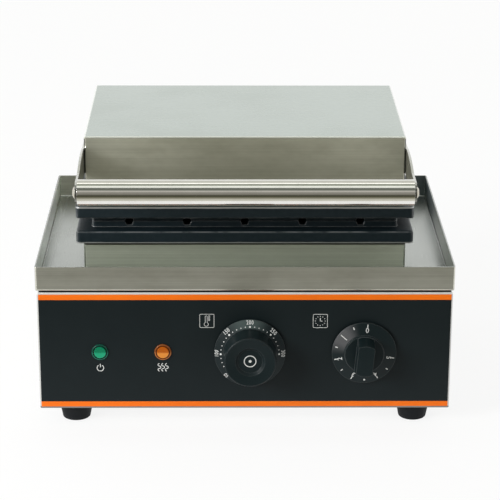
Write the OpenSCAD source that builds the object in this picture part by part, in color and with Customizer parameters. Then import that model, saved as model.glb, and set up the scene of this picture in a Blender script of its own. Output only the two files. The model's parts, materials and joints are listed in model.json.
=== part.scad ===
// Countertop corn dog maker: a folded steel base with its controls, a drip tray on top,
// two cast plates with five moulds between them, and a hinged lid with a tube handle.
// Millimetres. X runs to the right, Y to the rear and Z up. The origin lies on the
// standing surface, under the middle of the whole machine.

/* [Base] */
// Width of the base
base_w = 378; // [350:1:430]
// Depth of the base, front to rear
base_d = 278; // [262:1:320]
// Height of the base without its feet
base_h = 113.5; // [104:0.5:140]
// Thickness of the folded steel sheet
sheet_t = 1.2; // [0.8:0.1:1.6]
// Inside radius of the folded edges
bend_in = 0.8; // [0.4:0.1:2]
// Width of the flanges that are folded inward
flange_w = 14; // [12:0.5:18]
// Height of the rubber feet
foot_h = 17; // [10:0.5:24]
// Diameter of a foot where it meets the base
foot_d = 32; // [24:0.5:36]
// How much narrower a foot is at its lower end, on each side
foot_taper = 3; // [1:0.5:4]
// Radius of the rounded lower edge of a foot
foot_round = 1.5; // [1:0.5:4]
// Distance from the side of the base to the middle of a foot
foot_inset_x = 32; // [24:1:60]
// Distance from the front or rear of the base to the middle of a foot
foot_inset_y = 22; // [20:1:60]
// Number of air slots in the rear wall and in each row of the bottom
vent_count = 10; // [4:1:14]
// Width of an air slot
vent_w = 4; // [2:0.5:6]
// Length of an air slot
vent_l = 36; // [20:1:50]

/* [Front controls] */
// Steel left bare at each side of the front panel film
fascia_side = 1.5; // [1:0.25:8]
// Steel left bare above and below the front panel film
fascia_end = 1.75; // [1:0.25:6]
// Thickness of the front panel film
fascia_t = 0.6; // [0.4:0.1:1]
// Height of each coloured stripe
stripe_h = 5; // [3:0.5:10]
// Height of the row of controls above the bottom of the base
control_h = 56; // [46:1:66]
// Distance from the left side of the base to the power light
power_side = 56.5; // [40:0.5:70]
// Distance from the power light to the heating light
heat_step = 57.5; // [40:0.5:70]
// Place of the thermostat, to the right of the middle
thermostat_x = 4.5; // [-10:0.5:20]
// Distance from the right side of the base to the timer
timer_side = 80; // [68:0.5:90]
// Diameter of the collar of a light
lens_d = 15.5; // [14:0.5:20]
// Diameter of the neck of a light, behind its collar
lamp_d = 12; // [10:0.5:13]
// Length of a light behind the panel
lamp_l = 28; // [22:1:36]
// Diameter of the thermostat's dial
thermostat_d = 65; // [58:0.5:72]
// How far the thermostat knob stands out from its back face
thermostat_h = 25; // [20:0.5:30]
// Turn of the timer knob at rest, clockwise seen from the front
timer_rest = 5; // [0:1:10]
// Diameter of the timer's dial
timer_d = 59; // [52:0.5:66]
// How far the timer knob stands out from its back face
timer_h = 23; // [18:0.5:28]
// Diameter of the two control spindles
spindle_d = 6; // [5:0.1:7]
// Distance between a dial and the front panel film
dial_gap = 1.6; // [1.2:0.1:3]
// Distance between the two fixing screws of a control
control_pitch = 28; // [24:1:34]

/* [Drip tray] */
// How far the drip tray stands out past each side of the base
tray_over = 1; // [0.5:0.25:4]
// Height of the drip tray
tray_h = 23.2; // [15:0.2:35]
// Air gap between the base and the tray, kept by spacers
tray_gap = 1.8; // [1.4:0.2:6]
// Diameter of the spacers under the tray
spacer_d = 14; // [11:0.5:20]

/* [Plates and moulds] */
// Width of the cast plates
plate_w = 308; // [302:1:340]
// Depth of the cast plates
plate_d = 201; // [196:1:215]
// Distance from the front of the tray to the front of the plates
plate_front = 30; // [24:1:36]
// Thickness of a plate at its rim
rim_t = 11.4; // [9:0.2:14]
// Width of the lower step round the raised part of a plate
rim_w = 13.5; // [11:0.5:16]
// Height of the raised part that meets the other plate
block_h = 5.8; // [5:0.2:8]
// Thickness of the cast backing behind the moulds
back_t = 8; // [6:0.5:12]
// Inset of the cast backing from the raised part
back_inset = 12; // [10:0.5:16]
// Gap between the two plates when the lid is closed
part_gap = 0.3; // [0.2:0.1:1]
// Number of moulds
mould_count = 5; // [3:1:5]
// Distance from one mould to the next
mould_pitch = 53; // [48:0.5:54]
// Length of a mould at the face of the plate
mould_l = 150; // [130:1:156]
// Radius of the ribbed floor of a mould
mould_r = 20; // [17:0.5:21]
// Depth of the pockets between the ribs, beyond the ribs
pocket_t = 2; // [1:0.5:2.5]
// Height of the mould's axis beyond the face of the plate, which gives the draft
mould_rise = 5; // [4:0.5:7]
// Distance from one rib to the next
rib_pitch = 14; // [12:0.5:20]
// Width of a rib
rib_w = 4; // [2:0.5:6]
// Width of a stick notch at the face of the plate
notch_w = 8; // [7:0.5:12]
// Width of a stick notch at its floor
notch_floor_w = 5; // [4.5:0.5:7]
// Depth of a stick notch
notch_depth = 4; // [3:0.25:5]
// Radius of the round edge of a plate's rim, on the side of its face
rim_edge = 2.5; // [1:0.25:3.5]
// Radius of the softened edges of the raised part
cast_edge = 1; // [0.5:0.25:2]

/* [Lower casing and lid] */
// Inset of the lower casing from the edge of the plates
casing_inset = 6.5; // [4:0.5:7]
// Height of the lower casing
casing_h = 34.4; // [33:0.2:45]
// Inset of the lid from the edge of the plates
lid_inset = 8.5; // [6:0.5:9.5]
// Height of the lid above the upper plate
lid_h = 64; // [58:0.5:80]
// Thickness of the lower insulation
lower_pad_t = 12; // [8:0.5:13]
// Thickness of the upper insulation
upper_pad_t = 22; // [12:0.5:28]
// Diameter of the heating elements
heater_d = 8; // [6.5:0.1:8.5]
// Half of the straight length of a heating element
heater_half_l = 95; // [85:1:100]
// Bend radius of the heating elements
heater_bend = 18; // [16:0.5:19]

/* [Handle] */
// Diameter of the handle tube
handle_d = 23; // [20:0.5:28]
// Wall thickness of the handle tube
handle_wall = 1.5; // [1:0.1:2.5]
// Distance from the front of the lid to the axis of the tube
handle_reach = 86.5; // [70:0.5:100]
// Height of the axis of the tube above the upper plate
handle_rise = 38.8; // [34:0.2:42]
// Thickness of the handle arms
arm_t = 2; // [1.5:0.1:4]
// Height of the upper edge of an arm above the axis of the tube, beside the lid
arm_up = 13; // [11:0.5:15]
// Diameter of the round front end of an arm
arm_eye = 19; // [17:0.5:22]
// Height of the bowed upper edge of an arm above the axis of the tube
arm_bow = 15.3; // [14:0.1:18]
// Radius of the bowed upper edge
arm_bow_r = 165; // [150:1:240]
// Distance from the front of the lid to the highest point of the bow
arm_bow_front = 17.5; // [10:0.5:24]
// Length of an arm along the side of the lid
arm_hold = 92; // [80:1:110]

/* [Hinge] */
// Angle that the lid opens to
lid_open = 100; // [92:1:110]
// Distance from the rear of the plates to the hinge axis
hinge_back = 18; // [17:0.5:22]
// Distance from the middle to the hinge brackets
hinge_x = 108; // [96:1:112]
// Thickness of the hinge brackets
ear_t = 4; // [3:0.5:5]
// Radius of the round ends of the hinge brackets
ear_r = 12; // [10.5:0.5:13]
// Diameter of the hinge rod
rod_d = 10; // [8:0.5:11]
// Wall thickness of the hinge bushes
bush_wall = 2; // [1.5:0.25:2.5]
// Width of the hinge bracket plates
bracket_w = 34; // [28:1:35]

/* [Cord gland] */
// Bore of the cord gland
gland_bore = 8; // [6:0.5:10]
// How far the gland stands out at the rear
gland_l = 18; // [12:1:30]
// Distance from the left side of the base to the gland
gland_side = 59; // [40:1:90]
// Height of the gland above the bottom of the base
gland_h = 32; // [24:1:45]

/* [Hidden] */
$fn = 48;

// Fits, all on the radius or on one side
run_fit = 0.08;
slip_fit = 0.05;
hole_fit = 0.25;
sheet_fit = 0.5;
cut = 1;

// Screw sizes: shank, head and head height
m4 = 4;
m4_head = 7;
m4_head_h = 2.2;
m5 = 5;
m5_head = 8.5;
m5_head_h = 3;
m6 = 6;
m6_head = 11;
m6_head_h = 3;
m8 = 8;
m8_head = 12;
m8_head_h = 2.6;
screw_grip = 5;

// Recesses in the screw heads, as shares of the head
drive_depth = 0.45;
cross_l = 0.55;
cross_w = 0.14;
socket_d = 0.42;
head_sink = 1;

// Heights of the stack, from the standing surface up
bend_out = bend_in + sheet_t;
z_base = foot_h;
z_deck = z_base + base_h;
z_tray = z_deck + tray_gap;
z_floor = z_tray + sheet_t;
z_plate = z_floor + casing_h;
z_part = z_plate + rim_t + block_h;
z_lid = z_part + part_gap + block_h + rim_t;
z_hinge = z_part + part_gap / 2;
z_control = z_base + control_h;
z_tube = z_lid + handle_rise;

// Size of the drip tray, which follows the base
tray_w = base_w + 2 * tray_over;
tray_d = base_d + 2 * tray_over;

// Places from left to right
fascia_w = base_w - 2 * fascia_side;
fascia_h = base_h - 2 * fascia_end;
power_x = base_w / 2 - power_side;
heat_x = power_x - heat_step;
timer_x = base_w / 2 - timer_side;
gland_x = base_w / 2 - gland_side;

// Places from front to rear: the middle of the whole machine lies at y = 0
reach_front = handle_reach + handle_d / 2 - lid_inset - plate_front;
reach_rear = tray_d - tray_over + gland_l;
y_tray = (reach_front - reach_rear) / 2;
y_base = y_tray + tray_over;
y_base_mid = y_tray + tray_d / 2;
y_rear = y_base + base_d;
y_fascia = y_base - fascia_t;
y_dial = y_fascia - dial_gap;
y_inside = y_base + sheet_t;
y_plate = y_tray + plate_front;
y_mid = y_plate + plate_d / 2;
y_hinge = y_plate + plate_d + hinge_back;
y_lid = y_plate + lid_inset;
y_tube = y_lid - handle_reach;

// Sizes of the casings and plates
casing_w = plate_w - 2 * casing_inset;
casing_d = plate_d - 2 * casing_inset;
lid_w = plate_w - 2 * lid_inset;
lid_d = plate_d - 2 * lid_inset;
block_w = plate_w - 2 * rim_w;
block_d = plate_d - 2 * rim_w;
back_w = block_w - 2 * back_inset;
back_d = block_d - 2 * back_inset;
plate_round = 4;

// Fixing points, seen from above
cover_end = 40;
vent_top = 14;
pad_inset = 22;
corner = [[-1, -1], [1, -1], [-1, 1], [1, 1]];
casing_fix_x = casing_w / 2 - sheet_t - flange_w / 2;
casing_fix_y = casing_d / 2 - sheet_t - flange_w / 2;
cover_fix_x = base_w / 2 - sheet_t - flange_w / 2;
cover_fix_y = base_d / 2 - cover_end;
foot_x = base_w / 2 - foot_inset_x;
foot_y = base_d / 2 - foot_inset_y;
pad_x = tray_w / 2 - pad_inset;
pad_y = tray_d / 2 - pad_inset;
clamp_x = 1.5 * mould_pitch;
clamp_y = 2 * heater_bend;
clamp_w = 12;
clamp_t = 2.5;
clamp_end = 3;
clamp_l = 6 * heater_bend + heater_d + 2 * clamp_end;
clamp_drop = heater_d + slip_fit;

// The capillary rises behind the thermostat to the bulb under the lower plate
bulb_d = 6;
bulb_l = 78;
capillary_d = 2;
capillary_bend = 6;
bulb_clear = 7;
bulb_y = -(3 * heater_bend + heater_d / 2 + bulb_d / 2 + bulb_clear);
wire_hole_d = 14;
wire_clear = 4;
tray_wire_d = wire_hole_d + 2 * wire_clear;
grommet_lip = 2;
grommet_d = wire_hole_d + 2 * grommet_lip;
grommet_t = 1.2;
grommet_bore = 8;

// Bodies of the two controls, behind the front wall
control_plate_t = 1.5;
control_plate_w = 46;
control_plate_h = 32;
thermostat_box = [38, 30, 36];
timer_box_d = 46;
timer_box_l = 30;
bush_wall_t = 1.5;
bush_d = spindle_d + 2 * bush_wall_t;
spindle_in = 12;
spindle_out = 14;
blade = [6.3, 9, 0.8];
knob_boss_wall = 5;
knob_boss_d = spindle_d + 2 * knob_boss_wall;
control_head_h = 1.8;

// Hinge sizes
bush_d_out = rod_d + 2 * run_fit + 2 * bush_wall;
bush_flange_t = 1.5;
bush_flange_d = bush_d_out + 4;
ear_gap = 0.5;
ear_in = hinge_x - ear_gap - ear_t;
clip_t = 1.2;
clip_rim = 2.5;
clip_d = rod_d + 2 * clip_rim;
clip_groove = 1;
clip_gap = 0.3;
clip_x = hinge_x + ear_t + clip_gap;
rod_past = 2.5;
rod_half = clip_x + clip_t + rod_past;
stop_gap = 0.4;
bracket_t = 3;
bracket_clear = 3;
bracket_h = casing_h - 2 * bracket_clear;
lid_bracket_h = 40;
bracket_fix_z = 8;
lid_bracket_fix_z = 12;
ear_foot = 8;
ear_clear = 4;

// Brackets inside the lid, which carry the arms and the cover
inner_t = 2.5;
inner_end = 7;
inner_l = lid_d - 2 * (sheet_t + inner_end);
inner_rim = 8.5;
inner_h = handle_rise + inner_rim;
inner_side = 1;
inner_foot = (lid_w - 2 * sheet_t - back_w) / 2 - inner_side;
inner_fix_end = 12;
inner_fix_x = lid_w / 2 - sheet_t - inner_t - m4_head / 2 - inner_side;
inner_fix_y = inner_l / 2 - inner_fix_end;
bolt_end = 18;
arm_bolt_y = [bolt_end, arm_hold - bolt_end];
plug_l = 18;
plug_floor = 2;

// Cord gland
gland_wall = 4;
gland_step = 2;
gland_rim = 2.5;
gland_neck = gland_bore + 2 * gland_wall;
gland_d = gland_neck + 2 * gland_step;
gland_hex = gland_d + 2 * gland_rim;
gland_hex_h = 5;
gland_in = 12;

// Terminal block on the bottom cover
terminal_l = 48;
terminal_d = 20;
terminal_h = 18;
terminal_shift = 12;
terminal_back = 70;
terminal_pole = 15;
terminal_well_d = 6;
terminal_well_h = 9;
terminal_wire_d = 4;
terminal_wire_h = 6;

// Plain shapes

module along_x(d, l) {
    rotate([0, 90, 0])
        cylinder(d = d, h = l);
}

module along_y(d, l) {
    rotate([-90, 0, 0])
        cylinder(d = d, h = l);
}

module mid_cube(w, d, h) {
    translate([-w / 2, -d / 2, 0])
        cube([w, d, h]);
}

// Rectangle with four round corners, about its middle
module round_rect(w, d, r) {
    square([w - 2 * r, d], center = true);
    square([w, d - 2 * r], center = true);
    for (c = corner)
        translate([c[0] * (w / 2 - r), c[1] * (d / 2 - r)])
            circle(r);
}

// Rectangle standing on its lower edge, with round upper corners
module arch_rect(w, h, r) {
    translate([-w / 2, 0])
        square([w, h - r]);
    translate([-w / 2 + r, 0])
        square([w - 2 * r, h]);
    for (s = [-1, 1])
        translate([s * (w / 2 - r), h - r])
            circle(r);
}

// Block with round upright edges, and round edges of another radius along its top
module soft_block(w, d, h, r, edge) {
    intersection() {
        linear_extrude(h)
            round_rect(w, d, r);
        rotate([90, 0, 90])
            linear_extrude(w, center = true)
                arch_rect(d, h, edge);
        rotate([90, 0, 0])
            linear_extrude(d, center = true)
                arch_rect(w, h, edge);
    }
}

// Hollow box of folded sheet, open below
module bent_box(w, d, h) {
    difference() {
        soft_block(w, d, h, bend_out, bend_out);
        translate([0, 0, -cut])
            soft_block(w - 2 * sheet_t, d - 2 * sheet_t, h - sheet_t + cut, bend_in, bend_in);
    }
}

// Flat frame with a plain window, for the folded flanges
module frame(w, d, t, border) {
    difference() {
        mid_cube(w, d, t);
        translate([0, 0, -cut])
            mid_cube(w - 2 * border, d - 2 * border, t + 2 * cut);
    }
}

// Screw with a low round head above z = 0, a cross recess in it and its shank below
module screw(d, l, head_d, head_h) {
    difference() {
        union() {
            translate([0, 0, -l])
                cylinder(d = d, h = l + head_h / 2);
            rotate_extrude()
                polygon([
                    [0, 0], [head_d / 2, 0], [head_d / 2, head_h / 3],
                    [head_d / 2 - head_h / 3, head_h * 0.8], [head_d / 4, head_h], [0, head_h]
                ]);
        }
        for (a = [0, 90])
            rotate([0, 0, a])
                translate([0, 0, head_h * (1 - drive_depth)])
                    mid_cube(head_d * cross_l, head_d * cross_w, head_h);
    }
}

// Screw whose head has a full dome with a hexagon socket
module dome_screw(d, l, head_d, head_h) {
    dome_r = (head_d * head_d / 4 + head_h * head_h) / (2 * head_h);
    difference() {
        union() {
            translate([0, 0, -l])
                cylinder(d = d, h = l + head_h / 2);
            intersection() {
                cylinder(d = head_d, h = head_h);
                translate([0, 0, head_h - dome_r])
                    sphere(dome_r, $fn = 96);
            }
        }
        translate([0, 0, head_h * (1 - drive_depth)])
            cylinder(d = head_d * socket_d, h = head_h, $fn = 6);
    }
}

module at_corners(x, y) {
    for (c = corner)
        translate([c[0] * x, c[1] * y, 0])
            children();
}

// Base

module base_shell() {
    color("silver")
        difference() {
            union() {
                translate([0, y_base_mid, z_base])
                    bent_box(base_w, base_d, base_h);
                translate([0, y_base_mid, z_base + sheet_t])
                    frame(base_w - sheet_t, base_d - sheet_t, sheet_t, flange_w + sheet_t / 2);
            }
            for (x = [-power_x, -heat_x])
                front_hole(x, lamp_d + 2 * hole_fit);
            for (x = [thermostat_x, timer_x]) {
                front_hole(x, bush_d + 2 * hole_fit);
                for (s = [-1, 1])
                    front_hole(x + s * control_pitch / 2, m4 + 2 * hole_fit);
            }
            translate([-gland_x, y_rear - sheet_t - cut, z_base + gland_h])
                along_y(gland_neck + 2 * hole_fit, sheet_t + 2 * cut);
            for (i = [0 : vent_count - 1])
                translate([(i - (vent_count - 1) / 2) * 3 * vent_w - vent_w / 2,
                        y_rear - sheet_t - cut, z_deck - vent_l - vent_top])
                    cube([vent_w, sheet_t + 2 * cut, vent_l]);
            translate([0, y_mid, z_deck - sheet_t - cut])
                at_corners(casing_fix_x, casing_fix_y)
                    cylinder(d = m5 + 2 * hole_fit, h = sheet_t + 2 * cut);
            translate([thermostat_x, y_mid + bulb_y, z_deck - sheet_t - cut])
                cylinder(d = wire_hole_d, h = sheet_t + 2 * cut);
            translate([0, y_base_mid, z_base])
                cover_fixings(m4 + 2 * slip_fit, 3 * sheet_t);
        }
}

module front_hole(x, d) {
    translate([x, y_fascia - cut, z_control])
        along_y(d, fascia_t + sheet_t + 2 * cut);
}

module cover_fixings(d, h) {
    for (sx = [-1, 1])
        for (sy = [-1, 0, 1])
            translate([sx * cover_fix_x, sy * cover_fix_y, 0])
                cylinder(d = d, h = h);
}

module bottom_cover() {
    color("darkgray")
        translate([0, y_base_mid, z_base])
            difference() {
                mid_cube(base_w - 2 * (sheet_t + sheet_fit),
                    base_d - 2 * (sheet_t + sheet_fit), sheet_t);
                translate([0, 0, -cut])
                    cover_fixings(m4 + 2 * hole_fit, sheet_t + 2 * cut);
                translate([0, 0, -cut])
                    at_corners(foot_x, foot_y)
                        cylinder(d = m5 + 2 * slip_fit, h = sheet_t + 2 * cut);
                for (row = [-1, 1])
                    for (i = [0 : vent_count - 1])
                        translate([(i - (vent_count - 1) / 2) * 3 * vent_w,
                                row * vent_l, -cut])
                            mid_cube(vent_w, vent_l, sheet_t + 2 * cut);
            }
}

module cover_screws() {
    color("gainsboro")
        translate([0, y_base_mid, z_base])
            for (sx = [-1, 1])
                for (sy = [-1, 0, 1])
                    translate([sx * cover_fix_x, sy * cover_fix_y, 0])
                        rotate([180, 0, 0])
                            screw(m4, 2 * sheet_t + screw_grip, m4_head, m4_head_h);
}

module rubber_feet() {
    foot_flat = foot_d / 2 - foot_taper - foot_round;
    color("#1b1b1c")
        translate([0, y_base_mid, 0])
            at_corners(foot_x, foot_y)
                difference() {
                    rotate_extrude() {
                        square([foot_flat, foot_h]);
                        translate([0, foot_round])
                            polygon([
                                [0, 0], [foot_flat + foot_round, 0],
                                [foot_d / 2, foot_h - foot_round], [0, foot_h - foot_round]
                            ]);
                        translate([foot_flat, foot_round])
                            circle(foot_round);
                    }
                    translate([0, 0, -cut])
                        cylinder(d = m5 + 2 * hole_fit, h = foot_h + 2 * cut);
                    translate([0, 0, -cut])
                        cylinder(d = m5_head + 2 * sheet_fit, h = m5_head_h + head_sink + cut);
                }
}

module foot_screws() {
    color("gainsboro")
        translate([0, y_base_mid, m5_head_h + head_sink])
            at_corners(foot_x, foot_y)
                rotate([180, 0, 0])
                    screw(m5, foot_h - m5_head_h - head_sink + sheet_t + screw_grip,
                        m5_head, m5_head_h);
}

// Front panel and lights

module front_fascia() {
    black_h = fascia_h - 2 * stripe_h;
    color("#1d2122")
        difference() {
            translate([-fascia_w / 2, y_fascia, z_base + (base_h - black_h) / 2])
                cube([fascia_w, fascia_t, black_h]);
            for (x = [-power_x, -heat_x])
                front_hole(x, lamp_d + 2 * hole_fit);
            for (x = [thermostat_x, timer_x]) {
                front_hole(x, bush_d + 2 * hole_fit);
                for (s = [-1, 1])
                    front_hole(x + s * control_pitch / 2, m4_head + 2 * hole_fit);
            }
        }
}

module fascia_stripes() {
    color("#f2731c")
        for (z = [(base_h - fascia_h) / 2, (base_h + fascia_h) / 2 - stripe_h])
            translate([-fascia_w / 2, y_fascia, z_base + z])
                cube([fascia_w, fascia_t, stripe_h]);
}

// Coloured cap: a bevelled collar on the panel, a groove inside it and a raised disc
module lens(x) {
    collar_low = 0.8;
    collar_h = 1.6;
    collar_bevel = 0.6;
    collar_w = 1.3;
    groove_slope = 0.35;
    groove_w = 0.4;
    groove_h = 0.9;
    disc_h = 2.2;
    disc_bevel = 0.4;
    lens_r = lens_d / 2;
    groove_r = lens_r - collar_w - groove_slope;
    disc_r = groove_r - groove_w;
    translate([x, y_fascia, z_control])
        rotate([90, 0, 0])
            rotate_extrude()
                polygon([
                    [0, 0], [lens_r, 0], [lens_r, collar_low], [lens_r - collar_bevel, collar_h],
                    [lens_r - collar_w, collar_h], [groove_r, groove_h], [disc_r, groove_h],
                    [disc_r - disc_bevel, disc_h], [0, disc_h]
                ]);
}

module lamp(x) {
    translate([x, y_fascia, z_control]) {
        along_y(lamp_d, lamp_l);
        for (s = [-1, 1])
            translate([-blade[0] / 2, lamp_l - cut, s * lamp_d / 4])
                cube([blade[0], blade[1], blade[2]]);
    }
}

module power_lens() {
    color("#008c5a")
        lens(-power_x);
}

module power_lamp() {
    color("#e6e3d8")
        lamp(-power_x);
}

module heat_lens() {
    color("#d9771a")
        lens(-heat_x);
}

module heat_lamp() {
    color("#e6e3d8")
        lamp(-heat_x);
}

module lamp_nuts() {
    nut_h = 4;
    nut_rim = 3.5;
    color("#e6e3d8")
        for (x = [-power_x, -heat_x])
            translate([x, y_inside, z_control])
                rotate([-90, 0, 0])
                    difference() {
                        cylinder(d = lamp_d + 2 * nut_rim, h = nut_h, $fn = 6);
                        translate([0, 0, -cut])
                            cylinder(d = lamp_d + 2 * slip_fit, h = nut_h + 2 * cut);
                    }
}

// Thermostat and timer

// Fixing plate behind the front wall, with the bush that guides the spindle
module control_mount() {
    translate([-control_plate_w / 2, 0, -control_plate_h / 2])
        cube([control_plate_w, control_plate_t, control_plate_h]);
    translate([0, y_fascia - y_inside, 0])
        along_y(bush_d, y_inside - y_fascia + control_plate_t);
}

module control_holes() {
    translate([0, y_fascia - y_inside - cut, 0])
        along_y(spindle_d + 2 * run_fit, spindle_in + y_inside - y_fascia + 2 * cut);
    for (s = [-1, 1])
        translate([s * control_pitch / 2, -cut, 0])
            along_y(m4 + 2 * slip_fit, control_plate_t + screw_grip + 2 * cut);
}

module control_blades(y) {
    for (s = [-1, 1])
        translate([s * blade[0] - blade[0] / 2, y - cut, 0])
            cube([blade[0], blade[1] + cut, blade[2]]);
}

module thermostat_body() {
    color("#d8d3c4")
        translate([thermostat_x, y_inside, z_control])
            difference() {
                union() {
                    control_mount();
                    translate([-thermostat_box[0] / 2, control_plate_t, -thermostat_box[2] / 2])
                        cube(thermostat_box);
                    control_blades(control_plate_t + thermostat_box[1]);
                }
                control_holes();
            }
}

// Sensing bulb under the lower plate and the thin tube that joins it to the thermostat
module thermostat_bulb() {
    tube_z = z_control + thermostat_box[2] / 4;
    tube_y = y_inside + control_plate_t + thermostat_box[1];
    bulb_z = z_plate - back_t - bulb_d / 2 - slip_fit;
    run_y = y_mid + bulb_y - capillary_bend - tube_y;
    rise = bulb_z - tube_z - 2 * capillary_bend;
    color("#b87333")
        translate([thermostat_x, tube_y, tube_z]) {
            along_y(capillary_d, run_y);
            translate([0, run_y, capillary_bend])
                rotate([0, -90, 0])
                    rotate([0, 0, 90])
                        bend_arc();
            translate([0, run_y + capillary_bend, capillary_bend])
                cylinder(d = capillary_d, h = rise);
            translate([capillary_bend, run_y + capillary_bend, capillary_bend + rise])
                rotate([90, 0, 0])
                    rotate([0, 0, 90])
                        bend_arc();
            translate([capillary_bend, run_y + capillary_bend, 2 * capillary_bend + rise]) {
                along_x(capillary_d, bulb_d);
                translate([bulb_d / 2, 0, 0])
                    along_x(bulb_d, bulb_l);
            }
        }
}

// Quarter turn of the thin tube
module bend_arc() {
    rotate_extrude(angle = 90)
        translate([capillary_bend, 0])
            circle(d = capillary_d);
}

module bulb_clip() {
    clip_l = 10;
    clip_wall = 3;
    clip_floor = 2.5;
    clip_w = bulb_d + 2 * clip_wall;
    clip_h = bulb_d + clip_floor;
    color("gainsboro")
        translate([thermostat_x + capillary_bend + bulb_l / 2, y_mid + bulb_y, z_plate - back_t])
            difference() {
                translate([0, 0, -clip_h])
                    mid_cube(clip_l, clip_w, clip_h);
                translate([-clip_l, 0, -bulb_d / 2 - slip_fit]) {
                    along_x(bulb_d + 2 * slip_fit, 2 * clip_l);
                    translate([0, -bulb_d / 2 - slip_fit, 0])
                        cube([2 * clip_l, bulb_d + 2 * slip_fit, bulb_d]);
                }
            }
}

module timer_body() {
    color("#d8d3c4")
        translate([timer_x, y_inside, z_control])
            difference() {
                union() {
                    control_mount();
                    translate([0, control_plate_t, 0])
                        along_y(timer_box_d, timer_box_l);
                    control_blades(control_plate_t + timer_box_l);
                }
                control_holes();
            }
}

module control_screws() {
    color("gainsboro")
        for (x = [thermostat_x, timer_x])
            for (s = [-1, 1])
                translate([x + s * control_pitch / 2, y_base, z_control])
                    rotate([90, 0, 0])
                        screw(m4, sheet_t + control_plate_t + screw_grip, m4_head, control_head_h);
}

module spindle(x) {
    color("gainsboro")
        translate([x, y_dial - spindle_out, z_control])
            along_y(spindle_d, spindle_out + y_inside - y_dial + spindle_in);
}

module thermostat_spindle() {
    spindle(thermostat_x);
}

module timer_spindle() {
    spindle(timer_x);
}

module spindle_bore() {
    translate([0, 0, -cut])
        cylinder(d = spindle_d + 2 * slip_fit, h = spindle_out + 2 * cut);
}

// Wide dial with a drum grip, whose front slopes in to a bowl
module thermostat_knob() {
    scale_w = 7.8;
    taper = 1.2;
    wall = 2;
    edge = 1;
    rim_h = 1.6;
    dial_h = 5;
    slope = 1.2;
    bowl = 2.4;
    bowl_r = 13.5;
    bowl_side = 2.2;
    dial_r = thermostat_d / 2;
    grip_r = dial_r - scale_w;
    front_r = grip_r - taper;
    floor_h = thermostat_h - slope - bowl;
    color("#232728")
        translate([thermostat_x, y_dial, z_control])
            rotate([90, 0, 0])
                difference() {
                    union() {
                        rotate_extrude($fn = 96)
                            polygon([
                                [0, floor_h - wall], [front_r - wall - edge, floor_h - wall],
                                [grip_r - wall, dial_h - wall / 2], [dial_r - wall, 0],
                                [dial_r, 0], [dial_r, rim_h], [grip_r, dial_h],
                                [front_r, thermostat_h - edge],
                                [front_r - edge / 3, thermostat_h - edge / 3],
                                [front_r - edge, thermostat_h],
                                [bowl_r, thermostat_h - slope], [bowl_r - bowl_side, floor_h],
                                [0, floor_h]
                            ]);
                        cylinder(d = knob_boss_d, h = floor_h - wall / 2);
                    }
                    spindle_bore();
                }
}

// Wide dial with a round middle and a bar grip across it
module timer_knob() {
    scale_w = 11.3;
    taper = 3.5;
    wall = 2;
    edge = 0.5;
    rim_h = 1.6;
    dial_h = 4;
    cap_h = 6;
    bar_w = 15;
    dial_r = timer_d / 2;
    grip_r = dial_r - scale_w;
    front_r = grip_r - taper;
    color("#232728")
        translate([timer_x, y_dial, z_control])
            rotate([90, timer_rest, 0])
                difference() {
                    union() {
                        rotate_extrude($fn = 96)
                            polygon([
                                [0, cap_h - wall], [grip_r - wall, cap_h - wall],
                                [grip_r, dial_h - wall], [dial_r - wall, 0], [dial_r, 0],
                                [dial_r, rim_h], [grip_r, dial_h], [grip_r - edge, cap_h],
                                [0, cap_h]
                            ]);
                        intersection() {
                            cylinder(r1 = grip_r - edge, r2 = front_r, h = timer_h);
                            translate([-bar_w / 2, -dial_r, 0])
                                cube([bar_w, 2 * dial_r, timer_h]);
                        }
                        cylinder(d = knob_boss_d, h = cap_h);
                    }
                    spindle_bore();
                }
}

// Mains connection

module terminal_block() {
    color("ivory")
        translate([-gland_x + terminal_shift, y_rear - terminal_back, z_base + sheet_t])
            difference() {
                cube([terminal_l, terminal_d, terminal_h]);
                for (i = [-1 : 1])
                    translate([terminal_l / 2 + i * terminal_pole, 0, 0]) {
                        translate([0, terminal_d / 2, terminal_h - terminal_well_h])
                            cylinder(d = terminal_well_d, h = terminal_well_h + cut);
                        translate([0, -cut, terminal_wire_h])
                            along_y(terminal_wire_d, terminal_d + 2 * cut);
                    }
            }
}

module cord_gland() {
    color("#202224")
        translate([-gland_x, y_rear, z_base + gland_h])
            rotate([-90, 0, 0])
                difference() {
                    union() {
                        cylinder(d = gland_hex, h = gland_hex_h, $fn = 6);
                        cylinder(d1 = gland_d, d2 = gland_neck, h = gland_l);
                        translate([0, 0, -gland_in - sheet_t])
                            cylinder(d = gland_neck, h = gland_in + sheet_t + cut);
                    }
                    translate([0, 0, -gland_in - sheet_t - cut])
                        cylinder(d = gland_bore, h = gland_l + gland_in + sheet_t + 2 * cut);
                }
}

module gland_nut() {
    color("#202224")
        translate([-gland_x, y_rear - sheet_t - gland_hex_h, z_base + gland_h])
            rotate([-90, 0, 0])
                difference() {
                    cylinder(d = gland_hex, h = gland_hex_h, $fn = 6);
                    translate([0, 0, -cut])
                        cylinder(d = gland_neck + 2 * slip_fit, h = gland_hex_h + 2 * cut);
                }
}

// Drip tray and lower casing

module drip_tray() {
    color("lightgray")
        difference() {
            translate([0, y_base_mid, z_tray + tray_h])
                mirror([0, 0, 1])
                    bent_box(tray_w, tray_d, tray_h);
            translate([0, y_mid, z_tray - cut])
                at_corners(casing_fix_x, casing_fix_y)
                    cylinder(d = m5 + 2 * hole_fit, h = sheet_t + 2 * cut);
            translate([thermostat_x, y_mid + bulb_y, z_tray - cut])
                cylinder(d = tray_wire_d, h = sheet_t + 2 * cut);
        }
}

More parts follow.
